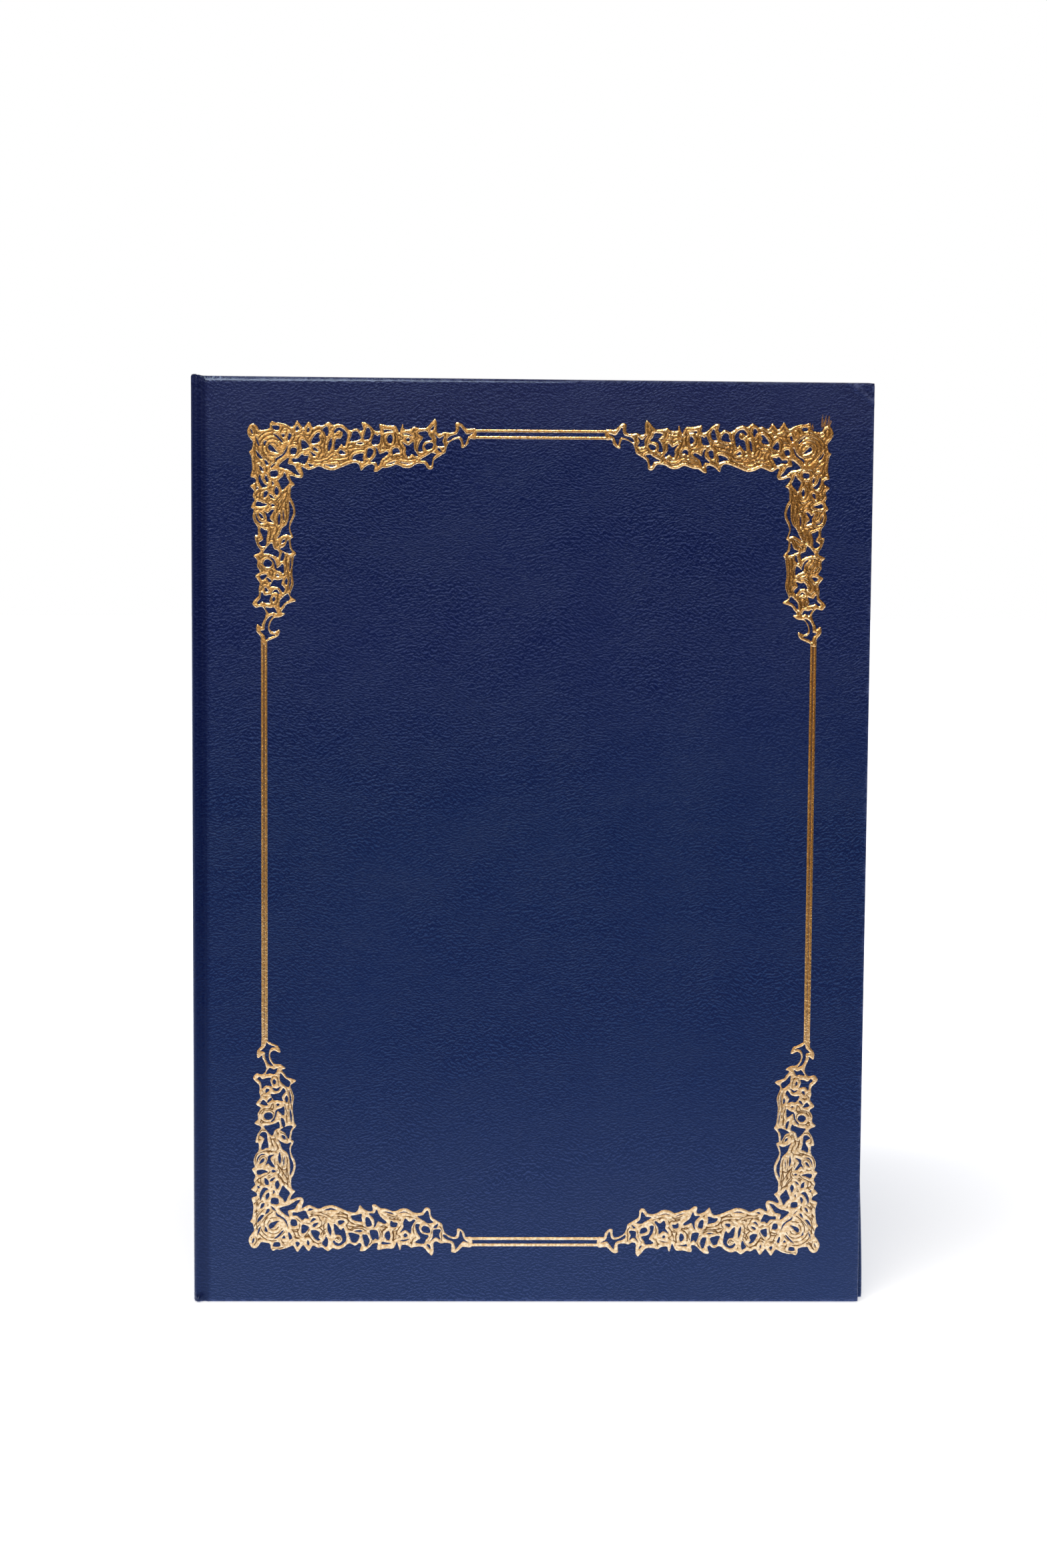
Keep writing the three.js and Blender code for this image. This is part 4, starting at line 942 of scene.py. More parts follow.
PETALS = [petal(1.9, 130, 335), petal(3.2, 130, 335), petal(4.5, 140, 325), petal(5.7, 170, 280)]
VEINS = PETALS + [
    [(-2.9, 4.1), (-1.6, 5.9), (0, 7.7), (1.4, 9.1), (2.6, 10)],
    [(-3.7, 4.8), (-3, 6.2), (-2.6, 8.2), (-1.4, 9.8), (0, 11.2)],
    [(1.8, 7.7), (2.8, 8), (3.9, 8)],
    [(-3.4, 9.6), (-2.6, 11), (-1.9, 12.9), (-0.8, 13.8)],
    [(-3.7, 12.7), (-2.7, 13.8), (-2, 14.6)],
    [(-4.6, 1), (-4, 1.6), (-3.1, 1.2), (-2.9, -0.3), (-3.6, -1.5)],
    [(5.6, 0.2), (6, -0.7), (7, -1.3), (7.8, -0.6), (7.6, 0.6), (7.2, 1.6)],
    [(2.4, -2.7), (5, -2.6), (7, -1.9), (8.6, -0.6), (9.6, 0.4)],
    [(9.8, 1.4), (11.4, 1), (13, 1.3), (14.2, 2.5), (15, 4)],
    [(9.6, 3.4), (10.8, 3.2), (11.6, 4.2), (11.7, 6)],
    [(10.6, 7.9), (12.2, 6.5), (14, 6.1), (15.2, 6)],
    [(14.6, 2.4), (15.8, 0.6), (17.2, -0.6), (18.8, -0.8), (19.9, 0.3), (20.7, 1.9)],
    [(15.2, 8.4), (17, 8.9), (19, 8.8), (20.9, 8.1), (22.6, 6.9), (23.6, 6.5)],
    [(15.8, 10), (18.2, 10), (20.8, 9.2), (23, 7.9), (25.4, 7.9)],
    [(19.3, 10.3), (21.6, 9.8), (24, 9.4), (26.4, 9.4), (28, 8.8)],
    [(22.9, 8.6), (24.6, 8.6), (27.2, 8), (28.6, 7)],
    [(17.6, 4.4), (19.4, 5.2), (20.6, 6.6), (20.6, 7.6)],
    [(18.9, 2), (19.6, 3.4), (20.6, 4.2)],
    [(23.9, 0.9), (24.9, 1.3), (25.5, 0.6), (25, -0.1), (24.2, 0.2)],
    [(28.1, 4.4), (29.4, 3.7), (30.2, 4.3), (32.6, 4.4), (34.2, 3.6)],
    [(28.8, 6.6), (30.6, 5.9), (32.8, 5.4), (34.4, 4.5), (35.6, 4.4)],
    [(27.8, 5.4), (29.6, 5), (31.6, 4.9)],
    [(35.4, -1.2), (36.2, 0), (35.9, 1.8), (35, 3)],
    [(38.9, 1.2), (39, 2.8), (38.6, 4.4), (39.8, 5.4), (41.4, 4.9)],
    [(39.6, 1.4), (39.9, 3.4), (40.8, 4.2)],
    [(43.2, 0.4), (43.5, 1.9), (43.2, 3.6), (44.2, 4.4)],
    [(44.3, 0.8), (44.4, 2.4), (45, 4), (46, 5.4)],
    [(39.6, 9.4), (41.6, 8.2), (43.7, 7.6), (45.6, 8.2), (47.3, 8.7), (49.6, 8.5), (51.4, 7.8)],
    [(41.4, 9.3), (43.4, 8.6), (44.8, 9)],
    [(49.6, -1.2), (50, 0.4), (50.6, 2.2), (50.2, 4.2), (50.6, 5.9), (51.6, 6.9)],
    [(55.2, 0.2), (56, 1.6), (56.5, 3.4), (56.6, 5), (55.2, 6)],
    [(59.9, 0.4), (59.8, 2.4), (60, 3.9), (59.2, 5.3)],
    [(-2.9, 16.6), (-2.2, 18.6), (-1, 19.7), (0, 19.2)],
    [(-3.3, 20.2), (-2.2, 21.4), (-0.6, 22.3), (0.9, 23.1), (1.8, 24)],
    [(1.2, 21.9), (2.2, 22.3), (3.2, 23.2), (4.2, 24.4)],
    [(7.8, 18.8), (7.5, 21.3), (6.4, 23.4), (5.2, 25.2), (4.2, 26.6)],
    [(6.6, 19.6), (6, 21.2), (5, 22.6), (4.4, 23.4)],
    [(8.2, 20.4), (7.8, 23.2), (7.5, 25.6), (7.6, 28.2), (6.9, 30.2)],
    [(5.9, 24.9), (5.8, 27.2), (5.9, 29.6), (5.3, 31.4)],
    [(-3.3, 26.4), (-3.2, 28.4), (-2.5, 30), (-0.8, 30.8), (1, 31.3), (2.4, 30.8)],
    [(-1.9, 27.4), (-1.4, 28.8), (-0.2, 29.2), (0.6, 28.4), (0.2, 27)],
    [(3.4, 26.6), (3.3, 28.4), (3.9, 30.4), (3.2, 32.2), (2.4, 34), (1.8, 36)],
    [(4.6, 32.2), (3.9, 34.4), (3.5, 36.4), (4.1, 38.2)],
    [(5.4, 37.6), (6.6, 37), (7.4, 35.8), (7.6, 34.9)],
    [(-2, 34.8), (-2, 36.4), (-1.2, 38.2), (0.2, 38.3)],
    [(-1.4, 42), (0, 41.2), (1.4, 41.2), (2.6, 42), (3.1, 43.4), (2.8, 44.6), (1.4, 45.3), (-0.2, 45),
     (-1.1, 44)],
    [(-1.8, 43.9), (-1, 45.3), (0.8, 46), (2.8, 45.6)],
    [(7.5, 41), (7.4, 43), (7.6, 44.4), (7, 46), (6.8, 47.4)],
    [(8.2, 43.4), (8, 46.4), (8.2, 49), (7.9, 51.4), (7.4, 53)],
    [(-1.2, 50.4), (-0.3, 51.4), (-1.2, 52.4)],
    [(2.4, 55.4), (2.6, 56.8), (4, 56.9), (4.6, 55.4), (4.7, 53.9)],
    [(9.2, 41.4), (9.3, 44.4), (9, 47), (9.4, 49.6), (8.8, 52.2)],
]
print("fine cuts:", len(VEINS))

# %% [markdown]
# ## The stamped corners
# A flat cut-out would look like paper. The pressed film rises from each edge to a ridge or to a flat top,
# and its slopes catch the light from above. So the drawing is filled with evenly spread points, joined into
# triangles (a constrained Delaunay mesh keeps the outline's edges), and each point's height follows its
# distance from the nearest edge, from the fine cuts and from shallow lines that follow the outline inside
# broad leaves.

# %% Helpers for the drawing
CURVE_STEP = 0.22
POINT_STEP = 0.17
LEVEL_ARM = 70.2
UPRIGHT_ARM = 69.9
ARM_DEPTH = 16
OUTER_REACH = 6


def through(points, step, closed=True):
    """A smooth curve through the points, in steps of about the given length."""
    p = np.array(points, float)
    n = len(p)
    curve = []
    for i in range(n if closed else n - 1):
        pick = [i - 1, i, i + 1, i + 2]
        a, b, c, d = (p[k % n] if closed else p[min(max(k, 0), n - 1)] for k in pick)
        count = max(2, math.ceil(np.linalg.norm(c - b) / step))
        for t in np.arange(count) / count:
            curve.append(0.5 * (2 * b + (c - a) * t + (2 * a - 5 * b + 4 * c - d) * t ** 2
                                + (3 * b - a - 3 * c + d) * t ** 3))
    return np.array(curve if closed else curve + [p[-1]])


def widened(points, by):
    """The loop with each point moved away from its middle."""
    p = np.array(points, float)
    away = p - p.mean(0)
    return p + by * away / np.linalg.norm(away, axis=1, keepdims=True)


def within(points, loop):
    """Which points lie inside a closed loop."""
    x, y = points.T
    low, high = loop.min(0), loop.max(0)
    near = np.flatnonzero((x > low[0]) & (x < high[0]) & (y > low[1]) & (y < high[1]))
    px, py = x[near], y[near]
    hit = np.zeros(len(near), bool)
    for (x0, y0), (x1, y1) in zip(loop, np.roll(loop, -1, 0)):
        if y0 != y1:
            hit ^= ((y0 > py) != (y1 > py)) & (px < (x1 - x0) * (py - y0) / (y1 - y0) + x0)
    inside = np.zeros(len(points), bool)
    inside[near] = hit
    return inside


def in_foil(points, loops):
    inside = np.zeros(len(points), bool)
    for loop in loops:
        inside ^= within(points, loop)
    return inside


def distance_to(marks, points):
    tree = KDTree(len(marks))
    for i, (a, b) in enumerate(marks):
        tree.insert((a, b, 0), i)
    tree.balance()
    return np.array([tree.find((a, b, 0))[2] for a, b in points])


def triangulated(loops, extra):
    """Triangles that fill the drawing between its loops: their points, and three of these for each."""
    edges, count = [], 0
    for loop in loops:
        n = len(loop)
        edges += [(count + i, count + (i + 1) % n) for i in range(n)]
        count += n
    flat = np.concatenate(loops + ([extra] if len(extra) else []))
    made = delaunay_2d_cdt([Vector(p) for p in flat], edges, [], 2, 1e-6)
    points = np.array([tuple(p) for p in made[0]])
    triangles = np.array(made[2])
    middle = points[triangles].mean(1)
    return points, triangles[in_foil(middle, loops)]


print("drawing helpers ready")

# %% Relief of one corner
RELIEF = 0.34
STRAND = 1.2
CUT_WIDTH = 0.13
CUT_STEP = 0.08
RIDGE_POWER = 0.85
EDGE_SHARE = 0.3
STRAND_SHARE = 0.7
RIM_CLEAR = 0.4
CUT_FADE = 0.35
PATCHES_PER_MM = 0.55
PATCH_SEED = 5.2
PATCHY = 0.75


def opening_area(cell):
    x, y = np.array(cell, float).T
    return abs(np.dot(x, np.roll(y, -1)) - np.dot(y, np.roll(x, -1))) / 2


def ridged(distance, ramp):
    """From 0 at an edge or a groove to 1 on a strand: a ridge where the ramp is 1, a flat top below that."""
    return np.clip(distance / (STRAND / 2 * ramp), 0, 1) ** RIDGE_POWER


def corner_relief(ease, smallest, filled, depth, ramp):
    """Points, triangles, heights and cuts of a corner; small openings and the named ones stay filled."""
    outlines = [through(CREST + OUTER_SIDE + INNER_SIDE + INNER_EDGE, CURVE_STEP)]
    opened = [cell for cell in CELLS if opening_area(cell) >= smallest and cell not in filled]
    outlines += [through(widened(cell, ease), CURVE_STEP) for cell in opened]
    across, down = np.meshgrid(np.arange(-OUTER_REACH, LEVEL_ARM, POINT_STEP),
                               np.arange(-OUTER_REACH, UPRIGHT_ARM, POINT_STEP * math.sqrt(3) / 2))
    across[1::2] += POINT_STEP / 2
    spread = np.stack([across.ravel(), down.ravel()], 1)
    spread = spread[(spread[:, 0] < ARM_DEPTH) | (spread[:, 1] < ARM_DEPTH)]
    spread = spread[in_foil(spread, outlines)]
    rim = np.concatenate([through(loop, CURVE_STEP / 3) for loop in outlines])
    spread = spread[distance_to(rim, spread) > POINT_STEP * RIM_CLEAR]
    points, faces = triangulated(outlines, spread)
    under = triangulated(outlines, np.zeros((0, 2)))
    to_rim = distance_to(rim, points)
    to_cut = distance_to(np.concatenate([through(v, CUT_STEP, False) for v in VEINS]), points)
    to_line = np.abs((to_rim + STRAND / 2) % STRAND - STRAND / 2)
    in_rose = np.linalg.norm(points - ROSE_EYE, axis=1) < ROSE_REACH
    to_line = np.where((to_rim < STRAND / 2) | in_rose, to_rim, to_line)
    to_groove = np.minimum(to_line, to_cut)
    height = RELIEF * depth * (EDGE_SHARE * ridged(to_rim, ramp) + STRAND_SHARE * ridged(to_groove, ramp))
    patchy = eased(PATCHY + wavy(np.pad(points, ((0, 0), (0, 1))), PATCHES_PER_MM, PATCH_SEED))
    cut = hump(to_groove, CUT_WIDTH) * eased(to_rim / CUT_FADE) * patchy
    return points, faces, height, cut, under


print("largest opening", round(max(opening_area(c) for c in CELLS), 1), "mm2")

# %% [markdown]
# The four corners are the same drawing, mirrored, but no two pressings are alike. The upper one by the
# fore-edge was pressed hard: it is deep and ridged, its openings are narrower and the smallest are filled.
# The other three are shallow, with flat tops. The die also stood a little askew, so each corner is tilted
# by its own amount, and a slight warp gives it the ragged edge of film pulled off a grained skin. The
# underside is the same outline sunk a little into the skin, so the foil is a closed piece with no gap
# below.

# %% Press the four corners
RAGGED = 0.085
RAGGED_SCALE = 1.9
SUNK = 0.03
FOIL_MERGE = 0.001
FOIL_SHARP = 60


def press_corner(name, at_spine, at_top, relief, tilt, seed):
    points, triangles, height, cut, (under, below) = relief

    def pressed(flat, depth):
        warp = [RAGGED * wavy(np.pad(flat, ((0, 0), (0, 1))), RAGGED_SCALE, seed + k) for k in (0, 7)]
        u, v = flat[:, 0] + warp[0], flat[:, 1] + warp[1]
        x = RULE_LEFT + u if at_spine else RULE_RIGHT - u
        z = RULE_TOP - v if at_top else RULE_FOOT + v
        z = z + tilt * np.clip(1 - u / LEVEL_ARM, 0, 1) * np.clip(1 - v / UPRIGHT_ARM, 0, 1)
        return np.stack([x, FRONT - depth, z], 1)

    edges = {(a, b) for f in triangles for a, b in zip(f, np.roll(f, -1))}
    rim = [(a, b) for a, b in edges if (b, a) not in edges]
    sunk = {a: len(points) + i for i, a in enumerate(a for a, _ in rim)}
    lower = points[list(sunk)]
    first = len(points) + len(lower)
    places = np.concatenate([pressed(points, height), pressed(lower, np.full(len(lower), -SUNK)),
                             pressed(under, np.full(len(under), -SUNK))])
    faces = [tuple(f) for f in triangles]
    faces += [(b, a, sunk[a], sunk[b]) for a, b in rim]
    faces += [tuple(int(i) + first for i in reversed(f)) for f in below]
    cuts = np.concatenate([cut, np.zeros(len(places) - len(cut))])
    piece = closed_piece(name, places, faces, {"cut": cuts}, GOLD, FOIL_MERGE, FOIL_SHARP)
    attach(piece, "front_cover")
    return piece


CORNERS = [("upper_spine", True, True), ("upper_edge", False, True),
           ("lower_spine", True, False), ("lower_edge", False, False)]
RING = LOWER_CELLS[4]
PRESSINGS = {
    "upper_spine": {"ease": 0.0, "smallest": 0, "filled": [], "depth": 0.5, "ramp": 0.55},
    "upper_edge": {"ease": -0.24, "smallest": 1.2, "filled": [RING], "depth": 1, "ramp": 1},
    "lower_spine": {"ease": 0.13, "smallest": 0, "filled": [], "depth": 0.3, "ramp": 0.6},
    "lower_edge": {"ease": -0.06, "smallest": 0, "filled": [], "depth": 0.3, "ramp": 0.6},
}
TILTS = {"upper_spine": 0.35, "upper_edge": 0.85, "lower_spine": 0.4, "lower_edge": -1.1}
SEED_STEP = 11.3
for number, (place, at_spine, at_top) in enumerate(CORNERS, 1):
    relief = corner_relief(**PRESSINGS[place])
    corner = press_corner("gold_corner_" + place, at_spine, at_top, relief, TILTS[place], SEED_STEP * number)
    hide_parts("foil_corner_" + place)

# %% [markdown]
# ## The rules
# Between the corners run double rules. Each is one thin stroke along a line, so Geometry Nodes can draw
# them all: a line is cut into short steps, shaken a little by noise, and a small oval is swept along it.
# Set Curve Normal keeps the oval's flat side on the cover. One tree serves both pairs, with their width as
# an input.

# %% A tree that sweeps a stamped stroke
SHAKES_PER_METRE = 700.0
THICKENINGS_PER_METRE = 900.0


def stroke_tree():
    tree = bpy.data.node_groups.new("stamped_stroke", "GeometryNodeTree")
    sockets = [("Lines", "NodeSocketGeometry"), ("Width", "NodeSocketFloat"), ("Relief", "NodeSocketFloat"),
               ("Step", "NodeSocketFloat"), ("Shake", "NodeSocketFloat"), ("Finish", "NodeSocketMaterial")]
    for name, kind in sockets:
        tree.interface.new_socket(name, in_out="INPUT", socket_type=kind)
    tree.interface.new_socket("Strokes", in_out="OUTPUT", socket_type="NodeSocketGeometry")
    given = tree.nodes.new("NodeGroupInput").outputs
    curve = add_node(tree, "GeometryNodeMeshToCurve", {"Mesh": given["Lines"]})
    steps = add_node(tree, "GeometryNodeResampleCurve", {"Curve": curve.outputs[0]}, mode="LENGTH")
    feed(tree, steps.inputs["Length"], given["Step"])
    place = tree.nodes.new("GeometryNodeInputPosition").outputs[0]
    jitter = add_node(tree, "ShaderNodeTexNoise",
                      {"Vector": place, "Scale": SHAKES_PER_METRE, "Detail": 2.0})
    centred = add_node(tree, "ShaderNodeVectorMath", {0: jitter.outputs["Color"], 1: (0.5, 0.5, 0.5)},
                       operation="SUBTRACT")
    shaken = add_node(tree, "ShaderNodeVectorMath", {"Vector": centred.outputs[0], "Scale": given["Shake"]},
                      operation="SCALE")
    flat = add_node(tree, "ShaderNodeVectorMath", {0: shaken.outputs[0], 1: (1, 0, 1)},
                    operation="MULTIPLY")
    moved = add_node(tree, "GeometryNodeSetPosition",
                     {"Geometry": steps.outputs[0], "Offset": flat.outputs[0]})
    upright = add_node(tree, "GeometryNodeSetCurveNormal",
                       {"Curve": moved.outputs[0], "Normal": (0, -1, 0)}, mode="FREE")
    swell = add_node(tree, "ShaderNodeTexNoise",
                     {"Vector": place, "Scale": THICKENINGS_PER_METRE, "Detail": 1.0})
    radius = ranged(tree, swell.outputs["Fac"], 0.3, 0.7, 0.84, 1.12)
    fuller = add_node(tree, "GeometryNodeSetCurveRadius", {"Curve": upright.outputs[0], "Radius": radius})
    ring = add_node(tree, "GeometryNodeCurvePrimitiveCircle", {"Resolution": 14, "Radius": 1.0})
    half = sums(tree, "MULTIPLY", given["Width"], 0.5)
    size = add_node(tree, "ShaderNodeCombineXYZ", {"X": given["Relief"], "Y": half, "Z": 1.0})
    oval = add_node(tree, "GeometryNodeTransform", {"Geometry": ring.outputs[0], "Scale": size.outputs[0]})
    swept = add_node(tree, "GeometryNodeCurveToMesh",
                     {"Curve": fuller.outputs[0], "Profile Curve": oval.outputs[0], "Fill Caps": True})
    whole = add_node(tree, "GeometryNodeRealizeInstances", {"Geometry": swept.outputs[0]})
    smooth = add_node(tree, "GeometryNodeSetShadeSmooth", {"Geometry": whole.outputs[0]})
    finished = add_node(tree, "GeometryNodeSetMaterial",
                        {"Geometry": smooth.outputs[0], "Material": given["Finish"]})
    result = tree.nodes.new("NodeGroupOutput")
    tree.links.new(finished.outputs[0], result.inputs[0])
    return tree


STROKES = stroke_tree()
print("stroke tree:", len(STROKES.nodes), "nodes")

# %% Draw the rules


def identifier(tree, name):
    return next(s.identifier for s in tree.interface.items_tree if s.name == name and s.in_out == "INPUT")


def apply_modifiers(piece):
    """Gives the piece the mesh that its modifiers make."""
    made = piece.evaluated_get(bpy.context.evaluated_depsgraph_get())
    solid = bpy.data.meshes.new_from_object(made)
    piece.modifiers.clear()
    piece.data = solid


def drawn_strokes(name, lines, tree, inputs):
    """A mesh of the strokes along the lines; each line is a pair of points in millimetres."""
    points = [Vector(p) * MM for line in lines for p in line]
    mesh = bpy.data.meshes.new(name + "_lines")
    mesh.from_pydata(points, [(2 * i, 2 * i + 1) for i in range(len(lines))], [])
    piece = bpy.data.objects.new(name, mesh)
    modifier = piece.modifiers.new("strokes", "NODES")
    modifier.node_group = tree
    for label, value in inputs.items():
        modifier[identifier(tree, label)] = value
    scene.collection.objects.link(piece)
    apply_modifiers(piece)
    return piece


def rule_line(node, lap):
    """The middle line of a rule on the skin's face, longer at both ends by the lap, and its width."""
    low, high = box_mm(node)
    middle = (low + high) / 2
    middle.y = FRONT
    level = high.x - low.x > high.z - low.z
    way = Vector((high.x - low.x, 0, 0)) if level else Vector((0, 0, high.z - low.z))
    half = way / 2 + way.normalized() * lap
    return (middle - half, middle + half), (high.z - low.z if level else high.x - low.x)


RULE_LAP = 0.4
RULE_RELIEF = 0.17
RULE_STEP = 0.35
RULE_SHAKE = 0.16
UPRIGHT_SPREAD = 1.14
RULES = {
    "gold_level_rules": ["foil_rule_top_outer", "foil_rule_top_inner", "foil_rule_foot_inner",
                         "foil_rule_foot_outer"],
    "gold_upright_rules": ["foil_rule_spine_outer", "foil_rule_spine_inner", "foil_rule_edge_inner",
                           "foil_rule_edge_outer"],
}
for name, nodes in RULES.items():
    found = [rule_line(node, RULE_LAP) for node in nodes]
    spread = UPRIGHT_SPREAD if "upright" in name else 1.0
    rules = drawn_strokes(name, [line for line, _ in found], STROKES, {
        "Width": found[0][1] * spread * MM, "Relief": RULE_RELIEF * MM, "Step": RULE_STEP * MM,
        "Shake": RULE_SHAKE * MM, "Finish": GOLD})
    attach(rules, "front_cover")
    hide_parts(*nodes)
    print(name, len(rules.data.polygons), "faces")

# %% [markdown]
# Where the hot die lifted off the upper corner by the fore-edge, it pulled a tuft of film with it. The same
# tree draws the tuft as fine, short strokes, and they are joined to that corner, since they are one film.

# %% Stray film above one corner
TUFT = (RULE_RIGHT + 1.4, RULE_TOP + 3.0)
WISP = (RULE_RIGHT - 2.3, RULE_TOP + 2.4)
STRAY_PITCH = 0.19


def stray_lines(start, count, length, lean):
    """Short strokes side by side, each a little longer or shorter than the last."""
    lines = []
    for k in range(count):
        foot = Vector((start[0] + STRAY_PITCH * k, FRONT, start[1] + 0.3 * math.sin(2.1 * k)))
        rise = length * (0.75 + 0.35 * math.sin(1.3 * k + 0.4))
        lines.append((foot, foot + Vector((lean * (0.4 + 0.06 * k), 0, rise))))
    return lines


stray = stray_lines(TUFT, count=15, length=3.6, lean=0.6)
stray += stray_lines(WISP, count=7, length=1.6, lean=-0.5)
film = drawn_strokes("stray_film", stray, STROKES, {
    "Width": 0.15 * MM, "Relief": 0.05 * MM, "Step": 0.2 * MM, "Shake": 0.5 * MM, "Finish": GOLD})
corner_mesh = bpy.data.objects["gold_corner_upper_edge"].data
bm = bmesh.new()
bm.from_mesh(corner_mesh)
bm.from_mesh(film.data)
bm.to_mesh(corner_mesh)
bm.free()
bpy.data.objects.remove(film)
print("stray film:", len(stray), "strokes,", len(corner_mesh.polygons), "faces in the corner")

# %% [markdown]
# ## Inside: boards, lining paper and cloth
# Under the skin lie greyboards, which only show at an open joint. Inside, each cover has an ivory lining
# panel and a strip of cloth over the joint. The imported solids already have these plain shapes, so they stay
# and only get finishes: fibres and flecks for board, faint laid lines for paper, a plain weave for cloth.

# %% Finishes of the inside
BOARD_FIBRES_PER_METRE = 900
PAPER_FIBRES_PER_METRE = 700
SLUBS_PER_METRE = 380
LAID_PITCH = 1.1
THREAD = 0.42


def greyboard():
    material, tree, shader = new_material("greyboard")
    place = object_place(tree)
    fibres = speckle(tree, place, BOARD_FIBRES_PER_METRE, 4.0, 0.65)
    dark = (0.23, 0.215, 0.19, 1)
    light = (0.40, 0.38, 0.34, 1)
    tone = blended(tree, ranged(tree, fibres, 0.3, 0.7), dark, light)
    feed(tree, shader.inputs["Base Color"], tone)
    feed(tree, shader.inputs["Normal"], bumped(tree, fibres, 0.05 * MM))
    shader.inputs["Roughness"].default_value = 0.95
    return material


def lining_paper():
    material, tree, shader = new_material("ivory_laid_paper")
    place = object_place(tree)
    wire = add_node(tree, "ShaderNodeTexWave", {
        "Vector": place, "Scale": 1000 / LAID_PITCH / 20, "Distortion": 1.2, "Detail": 1.0,
        "Detail Scale": 0.4}, wave_type="BANDS", bands_direction="Z").outputs["Fac"]
    fibres = speckle(tree, place, PAPER_FIBRES_PER_METRE, 4.0, 0.6)
    cream = (0.76, 0.71, 0.58, 1)
    ivory = (0.86, 0.82, 0.71, 1)
    in_line = (0.70, 0.64, 0.50, 1)
    tone = blended(tree, ranged(tree, fibres, 0.3, 0.75), cream, ivory)
    tone = blended(tree, sums(tree, "MULTIPLY", wire, 0.22), tone, in_line)
    feed(tree, shader.inputs["Base Color"], tone)
    height = sums(tree, "MULTIPLY_ADD", fibres, 0.5, wire)
    feed(tree, shader.inputs["Normal"], bumped(tree, height, 0.03 * MM))
    shader.inputs["Roughness"].default_value = 0.82
    shader.inputs["Specular IOR Level"].default_value = 0.3
    return material


def hinge_cloth():
    material, tree, shader = new_material("woven_hinge_cloth")
    place = object_place(tree)
    split = axes(tree, place)
    turn = 2 * math.pi / THREAD * 1000
    side = sums(tree, "ADD", split["X"], split["Y"])
    warp = sums(tree, "SINE", sums(tree, "MULTIPLY", side, turn))
    weft = sums(tree, "SINE", sums(tree, "MULTIPLY", split["Z"], turn))
    weave = sums(tree, "MULTIPLY_ADD", sums(tree, "MULTIPLY", warp, weft), 0.5, 0.5)
    slub = speckle(tree, place, SLUBS_PER_METRE, 3.0)
    # The colour varies at random with slubs and is darker where the weave sinks: painted shade between the
    # threads.
    shade = sums(tree, "MULTIPLY_ADD", slub, 0.5, sums(tree, "MULTIPLY", weave, 0.5))
    sunken = (0.56, 0.51, 0.40, 1)
    raised = (0.82, 0.77, 0.65, 1)
    tone = blended(tree, shade, sunken, raised)
    feed(tree, shader.inputs["Base Color"], tone)
    feed(tree, shader.inputs["Normal"], bumped(tree, weave, 0.08 * MM))
    shader.inputs["Roughness"].default_value = 0.88
    shader.inputs["Specular IOR Level"].default_value = 0.25
    return material


def refinish(material, slot, *nodes):
    for node in nodes:
        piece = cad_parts[node]
        piece.data.materials.clear()
        piece.data.materials.append(material)


refinish(greyboard(), "greyboard", "front_board", "back_board", "spine_card")
refinish(lining_paper(), "lining_card", "front_lining_panel", "back_lining_panel")
refinish(hinge_cloth(), "hinge_cloth", "front_hinge_lining", "spine_lining", "back_hinge_lining")
print("inside finished")

# %% [markdown]
# ## Corner ribbons
# Four satin ribbons cross the corners of the back panel and hold the certificate. Each one is a straight
# band that goes over both edges of the panel and is glued behind it. The flat band is a grid; a fold
# carries every point past an edge round that edge and back underneath, which is what a real ribbon does. It
# bows out a little in the middle, where the paper slides in. Solidify gives it its thickness.

# %% Satin finish
WEFT_PITCH = 0.36
WARP_PITCH = 0.22
SELVEDGE_FROM = 5.6
SELVEDGE_TO = 6.1


def satin():
    material, tree, shader = new_material("navy_satin")
    mapped = add_node(tree, "ShaderNodeUVMap", uv_map="band").outputs["UV"]
    split = axes(tree, mapped)
    ribs = sums(tree, "SINE", sums(tree, "MULTIPLY", split["Y"], 2 * math.pi / WEFT_PITCH))
    ends = sums(tree, "SINE", sums(tree, "MULTIPLY", split["X"], 2 * math.pi / WARP_PITCH))
    slub = speckle(tree, mapped, 0.7, 3.0)
    woven = sums(tree, "MULTIPLY_ADD", ends, 0.35, sums(tree, "MULTIPLY", ribs, 0.25))
    woven = sums(tree, "ADD", woven, slub)
    edge = ranged(tree, sums(tree, "ABSOLUTE", split["X"]), SELVEDGE_FROM, SELVEDGE_TO)
    dark = (0.016, 0.026, 0.11, 1)
    light = (0.034, 0.052, 0.19, 1)
    selvedge = (0.013, 0.02, 0.085, 1)
    # Lighter on the ribs and ends of the weave and darker between them, painted shade, and varying at random
    # with slubs.
    tone = blended(tree, ranged(tree, woven, 0.2, 0.9), dark, light)
    tone = blended(tree, edge, tone, selvedge)
    feed(tree, shader.inputs["Base Color"], tone)
    feed(tree, shader.inputs["Roughness"], ranged(tree, slub, 0.3, 0.7, 0.30, 0.42))
    feed(tree, shader.inputs["Normal"], bumped(tree, woven, 0.02 * MM, 0.6))
    shader.inputs["Anisotropic"].default_value = 0.5
    shader.inputs["Sheen Weight"].default_value = 0.25
    return material


SATIN = satin()
print("satin:", len(SATIN.node_tree.nodes), "nodes")

# %% Fold the ribbons over the back panel
RIBBON_WIDTH = 13
RIBBON_REACH = 46
RIBBON_THICK = 0.22
TAIL = 8
CROWN = 0.32
ALONG_STEPS = 96
ACROSS_STEPS = 12

